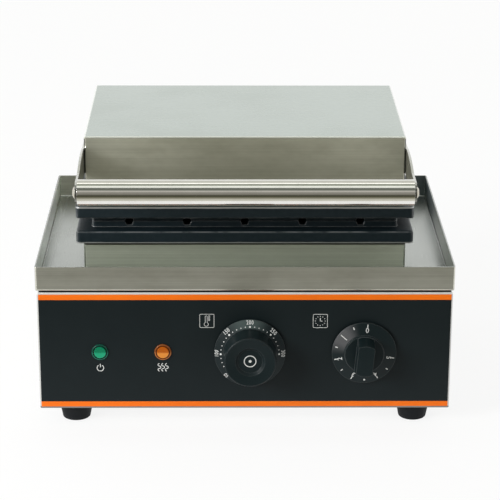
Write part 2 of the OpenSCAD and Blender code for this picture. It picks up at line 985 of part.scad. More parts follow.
module tray_spacers() {
    color("#3a3633") {
        translate([0, y_mid, z_deck])
            at_corners(casing_fix_x, casing_fix_y)
                difference() {
                    cylinder(d = spacer_d, h = tray_gap);
                    translate([0, 0, -cut])
                        cylinder(d = m5 + 2 * hole_fit, h = tray_gap + 2 * cut);
                }
        translate([0, y_base_mid, z_deck])
            at_corners(pad_x, pad_y)
                cylinder(d = spacer_d, h = tray_gap);
    }
}

module casing_bolts() {
    color("gainsboro")
        translate([0, y_mid, z_deck - sheet_t])
            at_corners(casing_fix_x, casing_fix_y)
                rotate([180, 0, 0])
                    screw(m5, 3 * sheet_t + tray_gap + screw_grip, m5_head, m5_head_h);
}

module deck_grommet() {
    color("#1b1b1c")
        translate([thermostat_x, y_mid + bulb_y, z_deck])
            rotate_extrude()
                polygon([
                    [grommet_bore / 2, -sheet_t - grommet_t], [grommet_d / 2, -sheet_t - grommet_t],
                    [grommet_d / 2, -sheet_t], [wire_hole_d / 2 - slip_fit, -sheet_t],
                    [wire_hole_d / 2 - slip_fit, 0], [grommet_d / 2, 0],
                    [grommet_d / 2, grommet_t], [grommet_bore / 2, grommet_t]
                ]);
}

module lower_casing() {
    color("darkgray")
        translate([0, y_mid, z_floor])
            difference() {
                union() {
                    bent_box(casing_w, casing_d, casing_h);
                    frame(casing_w - sheet_t, casing_d - sheet_t, sheet_t, flange_w + sheet_t / 2);
                }
                translate([0, 0, casing_h - sheet_t - cut])
                    mid_cube(casing_w - 2 * (sheet_t + flange_w), casing_d - 2 * (sheet_t + flange_w),
                        sheet_t + 2 * cut);
                translate([0, 0, -cut])
                    at_corners(casing_fix_x, casing_fix_y)
                        cylinder(d = m5 + 2 * slip_fit, h = sheet_t + 2 * cut);
                translate([0, 0, casing_h - sheet_t - cut])
                    at_corners(casing_fix_x, casing_fix_y)
                        cylinder(d = m5 + 2 * hole_fit, h = sheet_t + 2 * cut);
                for (s = [-1, 1])
                    bracket_points(s)
                        translate([0, -sheet_t - cut, -z_floor])
                            along_y(m4 + 2 * slip_fit, sheet_t + 2 * cut);
            }
}

// The two screw points of a lower hinge bracket, on the rear face of the casing
module bracket_points(s) {
    for (e = [-1, 1])
        translate([s * (hinge_x + ear_t + (bracket_w - ear_t) / 2), casing_d / 2,
                z_floor + casing_h / 2 + e * bracket_fix_z])
            children();
}

module lower_insulation() {
    pad_clear = 2;
    pad_w = casing_w - 2 * (sheet_t + flange_w + pad_clear);
    pad_d = casing_d - 2 * (sheet_t + flange_w + pad_clear);
    color("#e8e0c8")
        difference() {
            translate([0, y_mid, z_floor])
                mid_cube(pad_w, pad_d, lower_pad_t);
            translate([thermostat_x, y_mid + bulb_y, z_floor - cut])
                cylinder(d = grommet_bore, h = lower_pad_t + 2 * cut);
        }
}

// Plates

// One plate with its moulds, its face at z = 0 and its back below
module plate_form() {
    face_to_back = block_h + rim_t;
    difference() {
        union() {
            translate([0, 0, -face_to_back])
                soft_block(plate_w, plate_d, rim_t, plate_round, rim_edge);
            translate([0, 0, -face_to_back])
                soft_block(block_w, block_d, face_to_back, plate_round, cast_edge);
            translate([0, 0, -face_to_back - back_t])
                linear_extrude(back_t + cut)
                    round_rect(back_w, back_d, plate_round);
        }
        for (i = [0 : mould_count - 1])
            translate([(i - (mould_count - 1) / 2) * mould_pitch, 0, 0]) {
                translate([0, 0, mould_rise])
                    mould();
                notch();
            }
        translate([0, 0, -face_to_back - back_t])
            at_corners(clamp_x, clamp_y)
                translate([0, 0, -cut])
                    cylinder(d = m4 + 2 * slip_fit, h = screw_grip + 2 * cut);
    }
}

// Long round mould with ribs across it and one along its floor
module mould() {
    half_chord = sqrt(mould_r * mould_r - mould_rise * mould_rise);
    end_y = mould_l / 2 - half_chord;
    pockets = floor((2 * end_y - rib_w) / rib_pitch);
    pocket_l = rib_pitch - rib_w;
    translate([0, -end_y, 0])
        along_y(2 * mould_r, 2 * end_y);
    for (s = [-1, 1])
        translate([0, s * end_y, 0])
            sphere(mould_r);
    for (i = [0 : pockets - 1])
        translate([0, (i - (pockets - 1) / 2) * rib_pitch - pocket_l / 2, 0])
            difference() {
                along_y(2 * (mould_r + pocket_t), pocket_l);
                translate([-rib_w / 2, -cut, -2 * mould_r])
                    cube([rib_w, pocket_l + 2 * cut, 2 * mould_r]);
            }
}

// Slot for the stick, from the front of the raised part into the mould
module notch() {
    notch_l = (block_d - mould_l) / 2 + mould_r / 2;
    translate([0, -block_d / 2 - cut, 0])
        rotate([-90, 0, 0])
            linear_extrude(notch_l + cut)
                polygon([
                    [-notch_w / 2, -cut], [notch_w / 2, -cut], [notch_w / 2, 0],
                    [notch_floor_w / 2, notch_depth], [-notch_floor_w / 2, notch_depth],
                    [-notch_w / 2, 0]
                ]);
}

module lower_plate() {
    color("#2a2d31")
        translate([0, y_mid, z_part])
            difference() {
                plate_form();
                translate([0, 0, -block_h - rim_t - cut])
                    at_corners(casing_fix_x, casing_fix_y)
                        cylinder(d = m5 + 2 * slip_fit, h = screw_grip + 2 * cut);
            }
}

module upper_plate() {
    color("#2a2d31")
        translate([0, y_mid, z_part + part_gap])
            mirror([0, 0, 1])
                difference() {
                    plate_form();
                    translate([0, 0, -block_h - rim_t - cut])
                        at_corners(inner_fix_x, inner_fix_y)
                            cylinder(d = m4 + 2 * slip_fit, h = screw_grip + 2 * cut);
                }
}

module lower_plate_screws() {
    color("gainsboro")
        translate([0, y_mid, z_plate - sheet_t])
            at_corners(casing_fix_x, casing_fix_y)
                rotate([180, 0, 0])
                    screw(m5, sheet_t + screw_grip, m5_head, m5_head_h);
}

// Heating elements and their clamps

// One element below z = 0: four straight runs joined by three turns, with two end pins
module heater_form() {
    run = 2 * heater_half_l;
    pin_l = 14;
    translate([0, 0, -heater_d / 2 - slip_fit]) {
        for (i = [0 : 3])
            translate([-heater_half_l, (2 * i - 3) * heater_bend, 0])
                along_x(heater_d, run);
        for (i = [0 : 2])
            translate([(i % 2 == 0 ? 1 : -1) * heater_half_l, (2 * i - 2) * heater_bend, 0])
                rotate([0, 0, i % 2 == 0 ? -90 : 90])
                    rotate_extrude(angle = 180)
                        translate([heater_bend, 0])
                            circle(d = heater_d);
        for (s = [-1, 1])
            translate([-heater_half_l - pin_l, s * 3 * heater_bend, 0])
                along_x(heater_d / 2, pin_l + cut);
    }
}

module clamp_bars() {
    for (s = [-1, 1])
        translate([s * clamp_x, 0, -clamp_drop - slip_fit - clamp_t])
            difference() {
                mid_cube(clamp_w, clamp_l, clamp_t);
                for (e = [-1, 1])
                    translate([0, e * clamp_y, -cut])
                        cylinder(d = m4 + 2 * hole_fit, h = clamp_t + 2 * cut);
            }
}

module clamp_screws() {
    translate([0, 0, -clamp_drop - slip_fit - clamp_t])
        at_corners(clamp_x, clamp_y)
            rotate([180, 0, 0])
                screw(m4, clamp_drop + slip_fit + clamp_t + screw_grip, m4_head, m4_head_h);
}

module at_lower_back() {
    translate([0, y_mid, z_plate - back_t])
        children();
}

module at_upper_back() {
    translate([0, y_mid, z_lid + back_t])
        mirror([0, 0, 1])
            children();
}

module lower_heater() {
    color("#8f7f6d")
        at_lower_back()
            heater_form();
}

module upper_heater() {
    color("#8f7f6d")
        at_upper_back()
            heater_form();
}

module lower_clamps() {
    color("gainsboro")
        at_lower_back()
            clamp_bars();
}

module upper_clamps() {
    color("gainsboro")
        at_upper_back()
            clamp_bars();
}

module lower_clamp_screws() {
    color("gainsboro")
        at_lower_back()
            clamp_screws();
}

module upper_clamp_screws() {
    color("gainsboro")
        at_upper_back()
            clamp_screws();
}

// Hinge

// Upright plate of the given thickness, drawn in its side view and placed at x
module side_plate(x, t) {
    translate([x, 0, 0])
        rotate([90, 0, 90])
            linear_extrude(t)
                children();
}

// Lower bracket: a flat plate on the rear of the casing, and an ear with the lid's stop
module hinge_bracket() {
    root_y = -(hinge_back + casing_inset) + bracket_t;
    low = z_floor + bracket_clear - z_hinge;
    high = low + bracket_h;
    color("silver")
        difference() {
            translate([0, y_hinge, z_hinge]) {
                side_plate(hinge_x, ear_t)
                    difference() {
                        union() {
                            circle(ear_r);
                            polygon([
                                [root_y - cut, low], [root_y - cut, high],
                                [-ear_r, high + ear_clear], [-ear_r, 0], [ear_r, 0],
                                [ear_r, -ear_r], [root_y + ear_foot, low]
                            ]);
                            rotate(90 - lid_open)
                                square([hinge_back, hinge_back - stop_gap]);
                        }
                        circle(d = rod_d + 2 * slip_fit);
                    }
                translate([hinge_x, root_y - bracket_t, low])
                    cube([bracket_w, bracket_t, bracket_h]);
            }
            translate([0, y_mid, 0])
                bracket_points(1)
                    translate([0, -cut, 0])
                        along_y(m4 + 2 * hole_fit, bracket_t + 2 * cut);
        }
}

module hinge_bracket_right() {
    hinge_bracket();
}

module hinge_bracket_left() {
    mirror([1, 0, 0])
        hinge_bracket();
}

module bracket_screws() {
    color("gainsboro")
        translate([0, y_mid + bracket_t, 0])
            for (s = [-1, 1])
                bracket_points(s)
                    rotate([-90, 0, 0])
                        screw(m4, bracket_t + sheet_t + screw_grip, m4_head, m4_head_h);
}

module hinge_rod() {
    color("gainsboro")
        translate([0, y_hinge, z_hinge])
            difference() {
                translate([-rod_half, 0, 0])
                    along_x(rod_d, 2 * rod_half);
                for (s = [-1, 1])
                    translate([s * (clip_x + clip_t / 2) - clip_t / 2 - slip_fit, 0, 0])
                        difference() {
                            along_x(rod_d + 2 * cut, clip_t + 2 * slip_fit);
                            translate([-cut, 0, 0])
                                along_x(rod_d - 2 * clip_groove, clip_t + 2 * cut);
                        }
            }
}

module hinge_clips() {
    color("dimgray")
        translate([0, y_hinge, z_hinge])
            for (s = [-1, 1])
                translate([s * (clip_x + clip_t / 2) - clip_t / 2, 0, 0])
                    difference() {
                        along_x(clip_d, clip_t);
                        translate([-cut, 0, 0])
                            along_x(rod_d - 2 * clip_groove + 2 * slip_fit, clip_t + 2 * cut);
                    }
}

// Upper bracket: a flat plate on the rear of the lid, and an ear round the bush
module lid_hinge() {
    root_y = -(hinge_back + lid_inset) + bracket_t;
    low = z_lid + bracket_clear - z_hinge;
    high = low + lid_bracket_h;
    color("silver")
        difference() {
            translate([0, y_hinge, z_hinge]) {
                side_plate(ear_in, ear_t)
                    difference() {
                        union() {
                            circle(ear_r);
                            polygon([
                                [root_y - cut, high], [root_y - cut, low],
                                [-ear_r, low - ear_clear], [-ear_r, 0], [ear_r, 0],
                                [ear_r, ear_r], [root_y + ear_foot, high]
                            ]);
                        }
                        circle(d = bush_d_out + 2 * slip_fit);
                    }
                translate([ear_in + ear_t - bracket_w, root_y - bracket_t, low])
                    cube([bracket_w, bracket_t, lid_bracket_h]);
            }
            lid_hinge_points(1)
                translate([0, -cut, 0])
                    along_y(m4 + 2 * hole_fit, bracket_t + 2 * cut);
        }
}

// The two screw points of an upper hinge bracket, on the rear face of the lid
module lid_hinge_points(s) {
    for (e = [-1, 1])
        translate([s * (ear_in - (bracket_w - ear_t) / 2), y_lid + lid_d,
                z_lid + bracket_clear + lid_bracket_h / 2 + e * lid_bracket_fix_z])
            children();
}

module lid_hinge_right() {
    lid_hinge();
}

module lid_hinge_left() {
    mirror([1, 0, 0])
        lid_hinge();
}

module lid_hinge_screws() {
    color("gainsboro")
        translate([0, bracket_t, 0])
            for (s = [-1, 1])
                lid_hinge_points(s)
                    rotate([-90, 0, 0])
                        screw(m4, bracket_t + sheet_t + screw_grip, m4_head, m4_head_h);
}

module hinge_bushes() {
    color("#b08d57")
        translate([0, y_hinge, z_hinge])
            for (s = [0, 1])
                mirror([s, 0, 0])
                    difference() {
                        union() {
                            translate([ear_in, 0, 0])
                                along_x(bush_d_out, ear_t);
                            translate([ear_in - bush_flange_t, 0, 0])
                                along_x(bush_flange_d, bush_flange_t);
                        }
                        translate([ear_in - bush_flange_t - cut, 0, 0])
                            along_x(rod_d + 2 * run_fit, ear_t + bush_flange_t + 2 * cut);
                    }
}

// Lid

module lid_cover() {
    color("#c4ccc6")
        difference() {
            translate([0, y_mid, z_lid])
                bent_box(lid_w, lid_d, lid_h);
            arm_bolt_points()
                translate([-cut, 0, 0])
                    along_x(m6 + 2 * hole_fit, sheet_t + 2 * cut);
            for (s = [-1, 1])
                lid_hinge_points(s)
                    translate([0, -sheet_t - cut, 0])
                        along_y(m4 + 2 * slip_fit, sheet_t + 2 * cut);
        }
}

// The bolt points of both arms, on the outside of the lid's side walls and facing inward
module arm_bolt_points() {
    for (s = [0, 1])
        mirror([s, 0, 0])
            for (y = arm_bolt_y)
                translate([-lid_w / 2, y_lid + y, z_tube])
                    children();
}

// Angle bracket inside the lid: its foot is screwed to the plate, its wall holds the arm bolts
module lid_bracket() {
    color("darkgray")
        difference() {
            translate([-lid_w / 2 + sheet_t, y_mid - inner_l / 2, z_lid]) {
                cube([inner_t, inner_l, inner_h]);
                cube([inner_foot, inner_l, inner_t]);
            }
            arm_bolt_points()
                translate([-cut, 0, 0])
                    along_x(m6 + 2 * slip_fit, sheet_t + inner_t + 2 * cut);
            translate([0, y_mid, z_lid - cut])
                at_corners(inner_fix_x, inner_fix_y)
                    cylinder(d = m4 + 2 * hole_fit, h = inner_t + 2 * cut);
        }
}

module lid_bracket_left() {
    lid_bracket();
}

module lid_bracket_right() {
    mirror([1, 0, 0])
        lid_bracket();
}

module lid_plate_screws() {
    color("gainsboro")
        translate([0, y_mid, z_lid + inner_t])
            at_corners(inner_fix_x, inner_fix_y)
                screw(m4, inner_t + screw_grip, m4_head, m4_head_h);
}

module upper_insulation() {
    pad_z = z_lid + back_t + clamp_drop + slip_fit + clamp_t;
    color("#e8e0c8")
        difference() {
            translate([0, y_mid, pad_z])
                mid_cube(back_w, back_d, upper_pad_t);
            translate([0, y_mid, pad_z - cut])
                at_corners(clamp_x, clamp_y)
                    cylinder(d = m4_head + 2 * head_sink, h = m4_head_h + head_sink + cut);
        }
}

// Handle

// Side view of an arm about the tube's axis: a round eye, a bowed upper edge and a bar
// along the lid with a round rear end
module arm_outline() {
    eye_r = arm_eye / 2;
    bar_h = arm_up + eye_r;
    bar_l = handle_reach + arm_hold - bar_h / 2;
    top_y = handle_reach - arm_bow_front;
    circle(eye_r);
    translate([0, -eye_r])
        square([top_y, 2 * eye_r]);
    intersection() {
        translate([top_y, arm_bow - arm_bow_r])
            circle(arm_bow_r, $fn = 96);
        translate([eye_r, -eye_r])
            square([handle_reach - eye_r, bar_h + arm_bow]);
    }
    translate([top_y, -eye_r])
        square([bar_l - top_y, bar_h]);
    translate([bar_l, bar_h / 2 - eye_r])
        circle(d = bar_h);
}

module handle_arm() {
    color("silver")
        difference() {
            translate([0, y_tube, z_tube])
                side_plate(-lid_w / 2 - arm_t, arm_t)
                    difference() {
                        arm_outline();
                        circle(d = m8 + 2 * hole_fit);
                    }
            arm_bolt_points()
                translate([-arm_t - cut, 0, 0])
                    along_x(m6 + 2 * hole_fit, arm_t + 2 * cut);
        }
}

module handle_arm_left() {
    handle_arm();
}

module handle_arm_right() {
    mirror([1, 0, 0])
        handle_arm();
}

module arm_bolts() {
    color("gainsboro")
        arm_bolt_points()
            translate([-arm_t, 0, 0])
                rotate([0, -90, 0])
                    dome_screw(m6, arm_t + sheet_t + inner_t + screw_grip, m6_head, m6_head_h);
}

module handle_tube() {
    color("gainsboro")
        translate([-lid_w / 2, y_tube, z_tube])
            difference() {
                along_x(handle_d, lid_w);
                translate([-cut, 0, 0])
                    along_x(handle_d - 2 * handle_wall, lid_w + 2 * cut);
            }
}

module handle_plugs() {
    color("dimgray")
        for (s = [0, 1])
            mirror([s, 0, 0])
                translate([-lid_w / 2, y_tube, z_tube])
                    difference() {
                        along_x(handle_d - 2 * handle_wall - 2 * slip_fit, plug_l);
                        translate([-cut, 0, 0])
                            along_x(m8 + 2 * slip_fit, plug_l - plug_floor + cut);
                    }
}

module handle_screws() {
    color("gainsboro")
        for (s = [0, 1])
            mirror([s, 0, 0])
                translate([-lid_w / 2 - arm_t, y_tube, z_tube])
                    rotate([0, -90, 0])
                        dome_screw(m8, arm_t + plug_l - 2 * plug_floor, m8_head, m8_head_h);
}

base_shell();
bottom_cover();
cover_screws();
rubber_feet();
foot_screws();
front_fascia();
fascia_stripes();
power_lens();
power_lamp();
heat_lens();
heat_lamp();
lamp_nuts();
thermostat_body();
thermostat_bulb();
bulb_clip();
timer_body();
control_screws();
terminal_block();
cord_gland();
gland_nut();
drip_tray();
tray_spacers();
casing_bolts();
deck_grommet();
lower_casing();
lower_insulation();
lower_plate();
lower_plate_screws();
lower_heater();
lower_clamps();
lower_clamp_screws();
hinge_bracket_left();
hinge_bracket_right();
bracket_screws();
hinge_rod();
hinge_clips();
lid_cover();
upper_plate();
upper_heater();
upper_clamps();
upper_clamp_screws();
upper_insulation();
lid_bracket_left();
lid_bracket_right();
lid_plate_screws();
handle_arm_left();
handle_arm_right();
arm_bolts();
handle_tube();
handle_plugs();
handle_screws();
lid_hinge_left();
lid_hinge_right();
lid_hinge_screws();
hinge_bushes();
thermostat_knob();
thermostat_spindle();
timer_knob();
timer_spindle();
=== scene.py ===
# %% [markdown]
# A corn dog maker for a counter: a folded steel base with lights and two dials, a shallow
# drip tray, a pair of dark cast plates with moulds between them, and a lid that swings back
# on a hinge. The solids come ready from the packed model, so this lesson only dresses them:
# a camera, a small studio, one finish for each kind of surface, and the printed marks.

# %% Load the packed model
import json
import math

import bmesh
import bpy
from mathutils import Matrix, Vector


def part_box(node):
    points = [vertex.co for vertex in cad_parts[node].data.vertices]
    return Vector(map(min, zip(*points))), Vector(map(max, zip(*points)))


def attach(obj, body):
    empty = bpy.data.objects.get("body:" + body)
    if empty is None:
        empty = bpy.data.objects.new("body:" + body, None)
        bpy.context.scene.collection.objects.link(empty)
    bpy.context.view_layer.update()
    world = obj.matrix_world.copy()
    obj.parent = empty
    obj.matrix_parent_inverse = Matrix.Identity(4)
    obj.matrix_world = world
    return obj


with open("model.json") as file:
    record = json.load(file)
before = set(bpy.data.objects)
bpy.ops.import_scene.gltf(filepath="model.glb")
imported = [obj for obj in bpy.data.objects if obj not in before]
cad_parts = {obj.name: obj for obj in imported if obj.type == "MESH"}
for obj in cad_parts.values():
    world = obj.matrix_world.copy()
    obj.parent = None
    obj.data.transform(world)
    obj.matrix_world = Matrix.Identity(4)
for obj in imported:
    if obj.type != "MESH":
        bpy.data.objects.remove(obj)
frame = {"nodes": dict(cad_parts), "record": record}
scene = bpy.context.scene
nodes = frame["nodes"]
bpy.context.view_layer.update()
mm = 0.001

# %% [markdown]
# The camera stands in front of the machine, a little left of its middle, and looks down on it
# with a long lens. A long lens keeps the sides of the base nearly upright, which a short one
# would not. Its place is measured from the middle of the tray's front rim, because that rim is
# the longest straight edge in view. The three angles turn into the columns of one matrix.

# %% Camera
tray_low, tray_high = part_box("drip_tray")
rim_middle = Vector((0, tray_low.y, tray_high.z))
eye_from_rim = Vector((-16.6, -1692.7, 610.2)) * mm
eye = rim_middle + eye_from_rim
pitch, yaw, roll = (math.radians(degrees) for degrees in (19.33, 0.708, 0.21))

ahead = Vector((math.cos(pitch) * math.sin(yaw), math.cos(pitch) * math.cos(yaw), -math.sin(pitch)))
level = Vector((math.cos(yaw), -math.sin(yaw), 0))
above = level.cross(ahead)
right = level * math.cos(roll) + above * math.sin(roll)
above = above * math.cos(roll) - level * math.sin(roll)

camera = bpy.data.objects.new("camera", bpy.data.cameras.new("camera"))
scene.collection.objects.link(camera)
camera.matrix_world = Matrix.Translation(eye) @ Matrix((right, above, -ahead)).transposed().to_4x4()
camera.data.sensor_width = 36
camera.data.lens = 143.7
camera.data.clip_end = 20
scene.camera = camera
print("camera at", [round(v, 3) for v in eye])

# %% [markdown]
# Every finish below is a small sum of textures. Written node by node such a sum is hard to
# read, so one class wraps a socket and lets Python's own signs add the Math nodes, and a
# second one, the board, adds any other node. Settings are set before the sockets, because
# some settings change which sockets a node has.

# %% A socket that can be used in sums
class Wire:
    def __init__(self, board, socket):
        self.board, self.socket = board, socket

    def sum(self, operation, *terms):
        return self.board.node("ShaderNodeMath", {"operation": operation}, dict(enumerate(terms)))

    def __add__(self, other):
        return self.sum("ADD", self, other)

    def __radd__(self, other):
        return self.sum("ADD", other, self)

    def __sub__(self, other):
        return self.sum("SUBTRACT", self, other)

    def __rsub__(self, other):
        return self.sum("SUBTRACT", other, self)

    def __mul__(self, other):
        return self.sum("MULTIPLY", self, other)

    def __rmul__(self, other):
        return self.sum("MULTIPLY", other, self)

    def __truediv__(self, other):
        return self.sum("DIVIDE", self, other)

    def __rtruediv__(self, other):
        return self.sum("DIVIDE", other, self)

    def __pow__(self, other):
        return self.sum("POWER", self, other)

    def __rpow__(self, other):
        return self.sum("POWER", other, self)

    def __gt__(self, other):
        return self.sum("GREATER_THAN", self, other)

    def __lt__(self, other):
        return self.sum("LESS_THAN", self, other)

    def __abs__(self):
        return self.sum("ABSOLUTE", self)

    def larger(self, other):
        return self.sum("MAXIMUM", self, other)

    def angle_over(self, other):
        return self.sum("ARCTAN2", self, other)

    def to_half_turn(self):
        return self.sum("WRAP", self, math.pi, -math.pi)

    def zigzag(self, width):
        return self.sum("PINGPONG", self, width) / width

    # Zero below low, one above high, and a smooth rise between them
    def step(self, low, high):
        return self.board.node(
            "ShaderNodeMapRange", {"interpolation_type": "SMOOTHSTEP"},
            {"Value": self, "From Min": low, "From Max": high})


print("a wire understands + - * / ** < > and abs")


# %% A board that holds the nodes of one finish
class Board:
    def __init__(self, tree):
        self.tree = tree
        tree.nodes.clear()

    def node(self, kind, settings=None, sockets=None, out=0):
        made = self.tree.nodes.new(kind)
        for name, value in (settings or {}).items():
            # The stops of a colour ramp are a list of their own, all else is a plain property
            if name == "stops":
                ramp = made.color_ramp.elements
                while len(ramp) < len(value):
                    ramp.new(1)
                for element, (place, colour) in zip(ramp, value):
                    element.position, element.color = place, (*colour, 1)
            else:
                setattr(made, name, value)
        for name, value in (sockets or {}).items():
            if isinstance(value, Wire):
                self.tree.links.new(value.socket, made.inputs[name])
            else:
                made.inputs[name].default_value = value
        return Wire(self, made.outputs[out]) if made.outputs else made

    def mix(self, share, first, second):
        first, second = ((*c, 1) if isinstance(c, tuple) else c for c in (first, second))
        return self.node("ShaderNodeMix", {"data_type": "RGBA"}, {0: share, 6: first, 7: second}, 2)

    # Where a point lies, in metres of the shared frame, because every node sits at the origin
    def place(self):
        return self.node("ShaderNodeTexCoord", None, None, "Object")

    # Which way the face looks, as a vector of length one
    def facing(self):
        return self.node("ShaderNodeTexCoord", None, None, "Normal")

    def split(self, vector):
        return [self.node("ShaderNodeSeparateXYZ", None, {0: vector}, axis) for axis in "XYZ"]

    def times(self, vector, factors):
        return self.node("ShaderNodeVectorMath", {"operation": "MULTIPLY"}, {0: vector, 1: factors})

    def noise(self, vector, scale, detail=2.0, rough=0.5):
        return self.node("ShaderNodeTexNoise", None,
                         {"Vector": vector, "Scale": scale, "Detail": detail, "Roughness": rough})

    def bump(self, height, distance, strength=1.0, normal=None):
        sockets = {"Height": height, "Distance": distance, "Strength": strength}
        if normal is not None:
            sockets["Normal"] = normal
        return self.node("ShaderNodeBump", None, sockets)

    # Zero on faces that look along an axis, and more on the bends between them
    def between_faces(self, looks):
        x, y, z = (abs(v) for v in looks)
        return 1 - x.larger(y).larger(z)

    # The normal that the piece would have if its sharp edges were rounded
    def soft_edges(self, radius):
        return self.node("ShaderNodeBevel", {"samples": 6}, {"Radius": radius})

    # One along every sharp edge, where the rounded normal departs from the flat one
    def edge_mask(self, bevel, gain):
        flat = self.node("ShaderNodeNewGeometry", None, None, "Normal")
        same = self.node("ShaderNodeVectorMath", {"operation": "DOT_PRODUCT"}, {0: bevel, 1: flat}, "Value")
        return ((1 - same) * gain).step(0.0, 1.0)


print("board ready, with", len([name for name in vars(Board) if name[0] != "_"]), "helpers")


# %% A finish is a board with a material of its own
class Finish(Board):
    def __init__(self, name):
        self.material = bpy.data.materials.new(name)
        self.material.use_nodes = True
        super().__init__(self.material.node_tree)

    def surface(self, **values):
        names = {key.replace("_", " ").title().replace("Ior", "IOR"): v for key, v in values.items()}
        shader = self.node("ShaderNodeBsdfPrincipled", None, names)
        return self.close(shader)

    def close(self, shader):
        self.node("ShaderNodeOutputMaterial", None, {"Surface": shader})
        return self.material


print("ready to mix finishes")

# %% [markdown]
# The world is plain white. What makes steel look like steel is the curved card that stands in
# front of the machine and over it, as wide as the room and hidden from the camera: lamps and
# dark gaps run along it from left to right, so every round bar shows straight bands. Its colour
# follows the angle round the left-right axis, from the table in front, past the horizon at
# zero and the ceiling at ninety, to the white wall behind. The bands could be lamps of their
# own, but then each one would have to be balanced against the others.

# %% World
world = bpy.data.worlds.new("studio")
scene.world = world
world.use_nodes = True
room = Board(world.node_tree)
sky = room.node("ShaderNodeBackground", None, {"Color": (1, 1, 1, 1), "Strength": 1.0})
room.node("ShaderNodeOutputWorld", None, {"Surface": sky})
print("world:", world.name)


# %% Card with lamps
def staged(name, corners, faces, material):
    mesh = bpy.data.meshes.new(name)
    mesh.from_pydata(corners, [], faces)
    mesh.materials.append(material)
    made = bpy.data.objects.new(name, mesh)
    scene.collection.objects.link(made)
    return made


card_radius, card_half_width, card_axis_height, card_facet = 3.0, 3.0, 0.15, 5
bands = [
    (-85, (0.30, 0.29, 0.25)), (-60, (0.60, 0.59, 0.53)), (-50, (0.68, 0.67, 0.60)),
    (-40, (0.52, 0.51, 0.44)), (-28, (0.24, 0.23, 0.17)), (-15, (0.07, 0.07, 0.045)),
    (-6, (0.07, 0.07, 0.05)), (3, (0.24, 0.23, 0.20)), (19, (0.31, 0.30, 0.27)),
    (27, (0.60, 0.58, 0.54)), (36, (0.26, 0.27, 0.24)), (42, (0.14, 0.15, 0.13)),
    (54, (0.14, 0.15, 0.13)), (58, (0.90, 0.92, 0.87)), (74, (1.02, 1.04, 0.98)),
    (78, (0.24, 0.27, 0.21)), (92, (0.28, 0.30, 0.24)), (95, (1.35, 1.35, 1.3)),
    (104, (1.35, 1.35, 1.3)), (108, (0.62, 0.62, 0.56)), (130, (0.64, 0.64, 0.59)),
    (150, (0.92, 0.95, 0.92))]
first, last = bands[0][0], bands[-1][0]

strips = Finish("card with lamps")
_, deep, high = strips.split(strips.place())
angle = (high - card_axis_height).angle_over(0 - deep) * (180 / math.pi)
stops = [((degrees - first) / (last - first), colour) for degrees, colour in bands]
band = strips.node("ShaderNodeValToRGB", {"stops": stops}, {0: (angle - first) / (last - first)})
strips.close(strips.node("ShaderNodeEmission", None, {"Color": band, "Strength": 1.0}))

turns = [math.radians(degrees) for degrees in range(first, last + 1, card_facet)]
rows = [(x, -card_radius * math.cos(turn), card_axis_height + card_radius * math.sin(turn))
        for turn in turns for x in (-card_half_width, card_half_width)]
facets = [(2 * i, 2 * i + 1, 2 * i + 3, 2 * i + 2) for i in range(len(turns) - 1)]
card = staged("studio card", rows, facets, strips.material)
card.visible_camera = False
print("bands on the card:", len(bands))

# %% [markdown]
# The table is white paper. A sheet without end would be simpler, but then the tube and the
# dials would mirror paper where a room is dark, so it ends a little in front of the machine,
# out of the picture. It is white to the camera and to mirrors, and its matt share still takes
# the soft shadow between the feet. One broad lamp stands low on the left, where it draws the
# sheen on the dials.

# %% Table and lamp
paper = Finish("white paper")
speck = paper.noise(paper.place(), 40.0, 3.0)
matt = paper.node("ShaderNodeBsdfDiffuse", None,
                  {"Color": paper.mix(speck, (0.92, 0.92, 0.92), (0.95, 0.95, 0.95))})
lift = paper.node("ShaderNodeEmission", None, {"Color": (1, 1, 1, 1), "Strength": 1.0})
camera_ray, glossy_ray, clear_ray = (
    paper.node("ShaderNodeLightPath", None, None, f"Is {kind} Ray")
    for kind in ("Camera", "Glossy", "Transmission"))
seen = camera_ray.larger(glossy_ray).larger(clear_ray)
white_share = 0.85
paper.close(paper.node("ShaderNodeMixShader", None, {0: seen * white_share, 1: matt, 2: lift}))

table_half_width, table_front, table_rear, below_feet = 2.5, -0.3, 2.8, 0.4 * mm
table_edge = ((-table_half_width, table_front), (table_half_width, table_front),
              (table_half_width, table_rear), (-table_half_width, table_rear))
staged("table", [(x, y, -below_feet) for x, y in table_edge], [(0, 1, 2, 3)], paper.material)

light = bpy.data.lights.new("left lamp", "AREA")
light.shape, light.size, light.energy = "DISK", 0.9, 40.0
lamp = bpy.data.objects.new("left lamp", light)
lamp.location = (-1.65, -1.3, 0.95)
lamp_aim = Vector((0, 0, 0.12))
lamp.rotation_mode = "QUATERNION"
lamp.rotation_quaternion = (lamp_aim - lamp.location).to_track_quat("-Z", "Y")
scene.collection.objects.link(lamp)
print("lamp", light.energy, "W")

# %% [markdown]
# Stainless sheet carries a fine straight grain from the belt that brushed it. It is noise that
# is drawn out about two hundred times longer along the grain than across it. On the left and
# right walls the grain runs from front to rear, so one of two stretched copies is chosen by
# which way the face looks. Upright sheets also carry cloudy marks of wiping. Level faces get a
# colour of their own, painted light that sets them lighter or darker than the upright faces of
# the same sheet. Bends are smoother than the flats, because the press brake's die burnishes
# them, so they mirror the lamps as thin lines. Sharp edges and the upper half of each bend are
# also lightened in colour, a painted highlight with a little wear. A coarse belt blurs a mirror
# image mostly one way, which the shader's own anisotropy gives more quietly than a strong bump
# would.

# %% Brushed steel
along, across = 7.0, 1500.0
grain_depth = 0.02 * mm


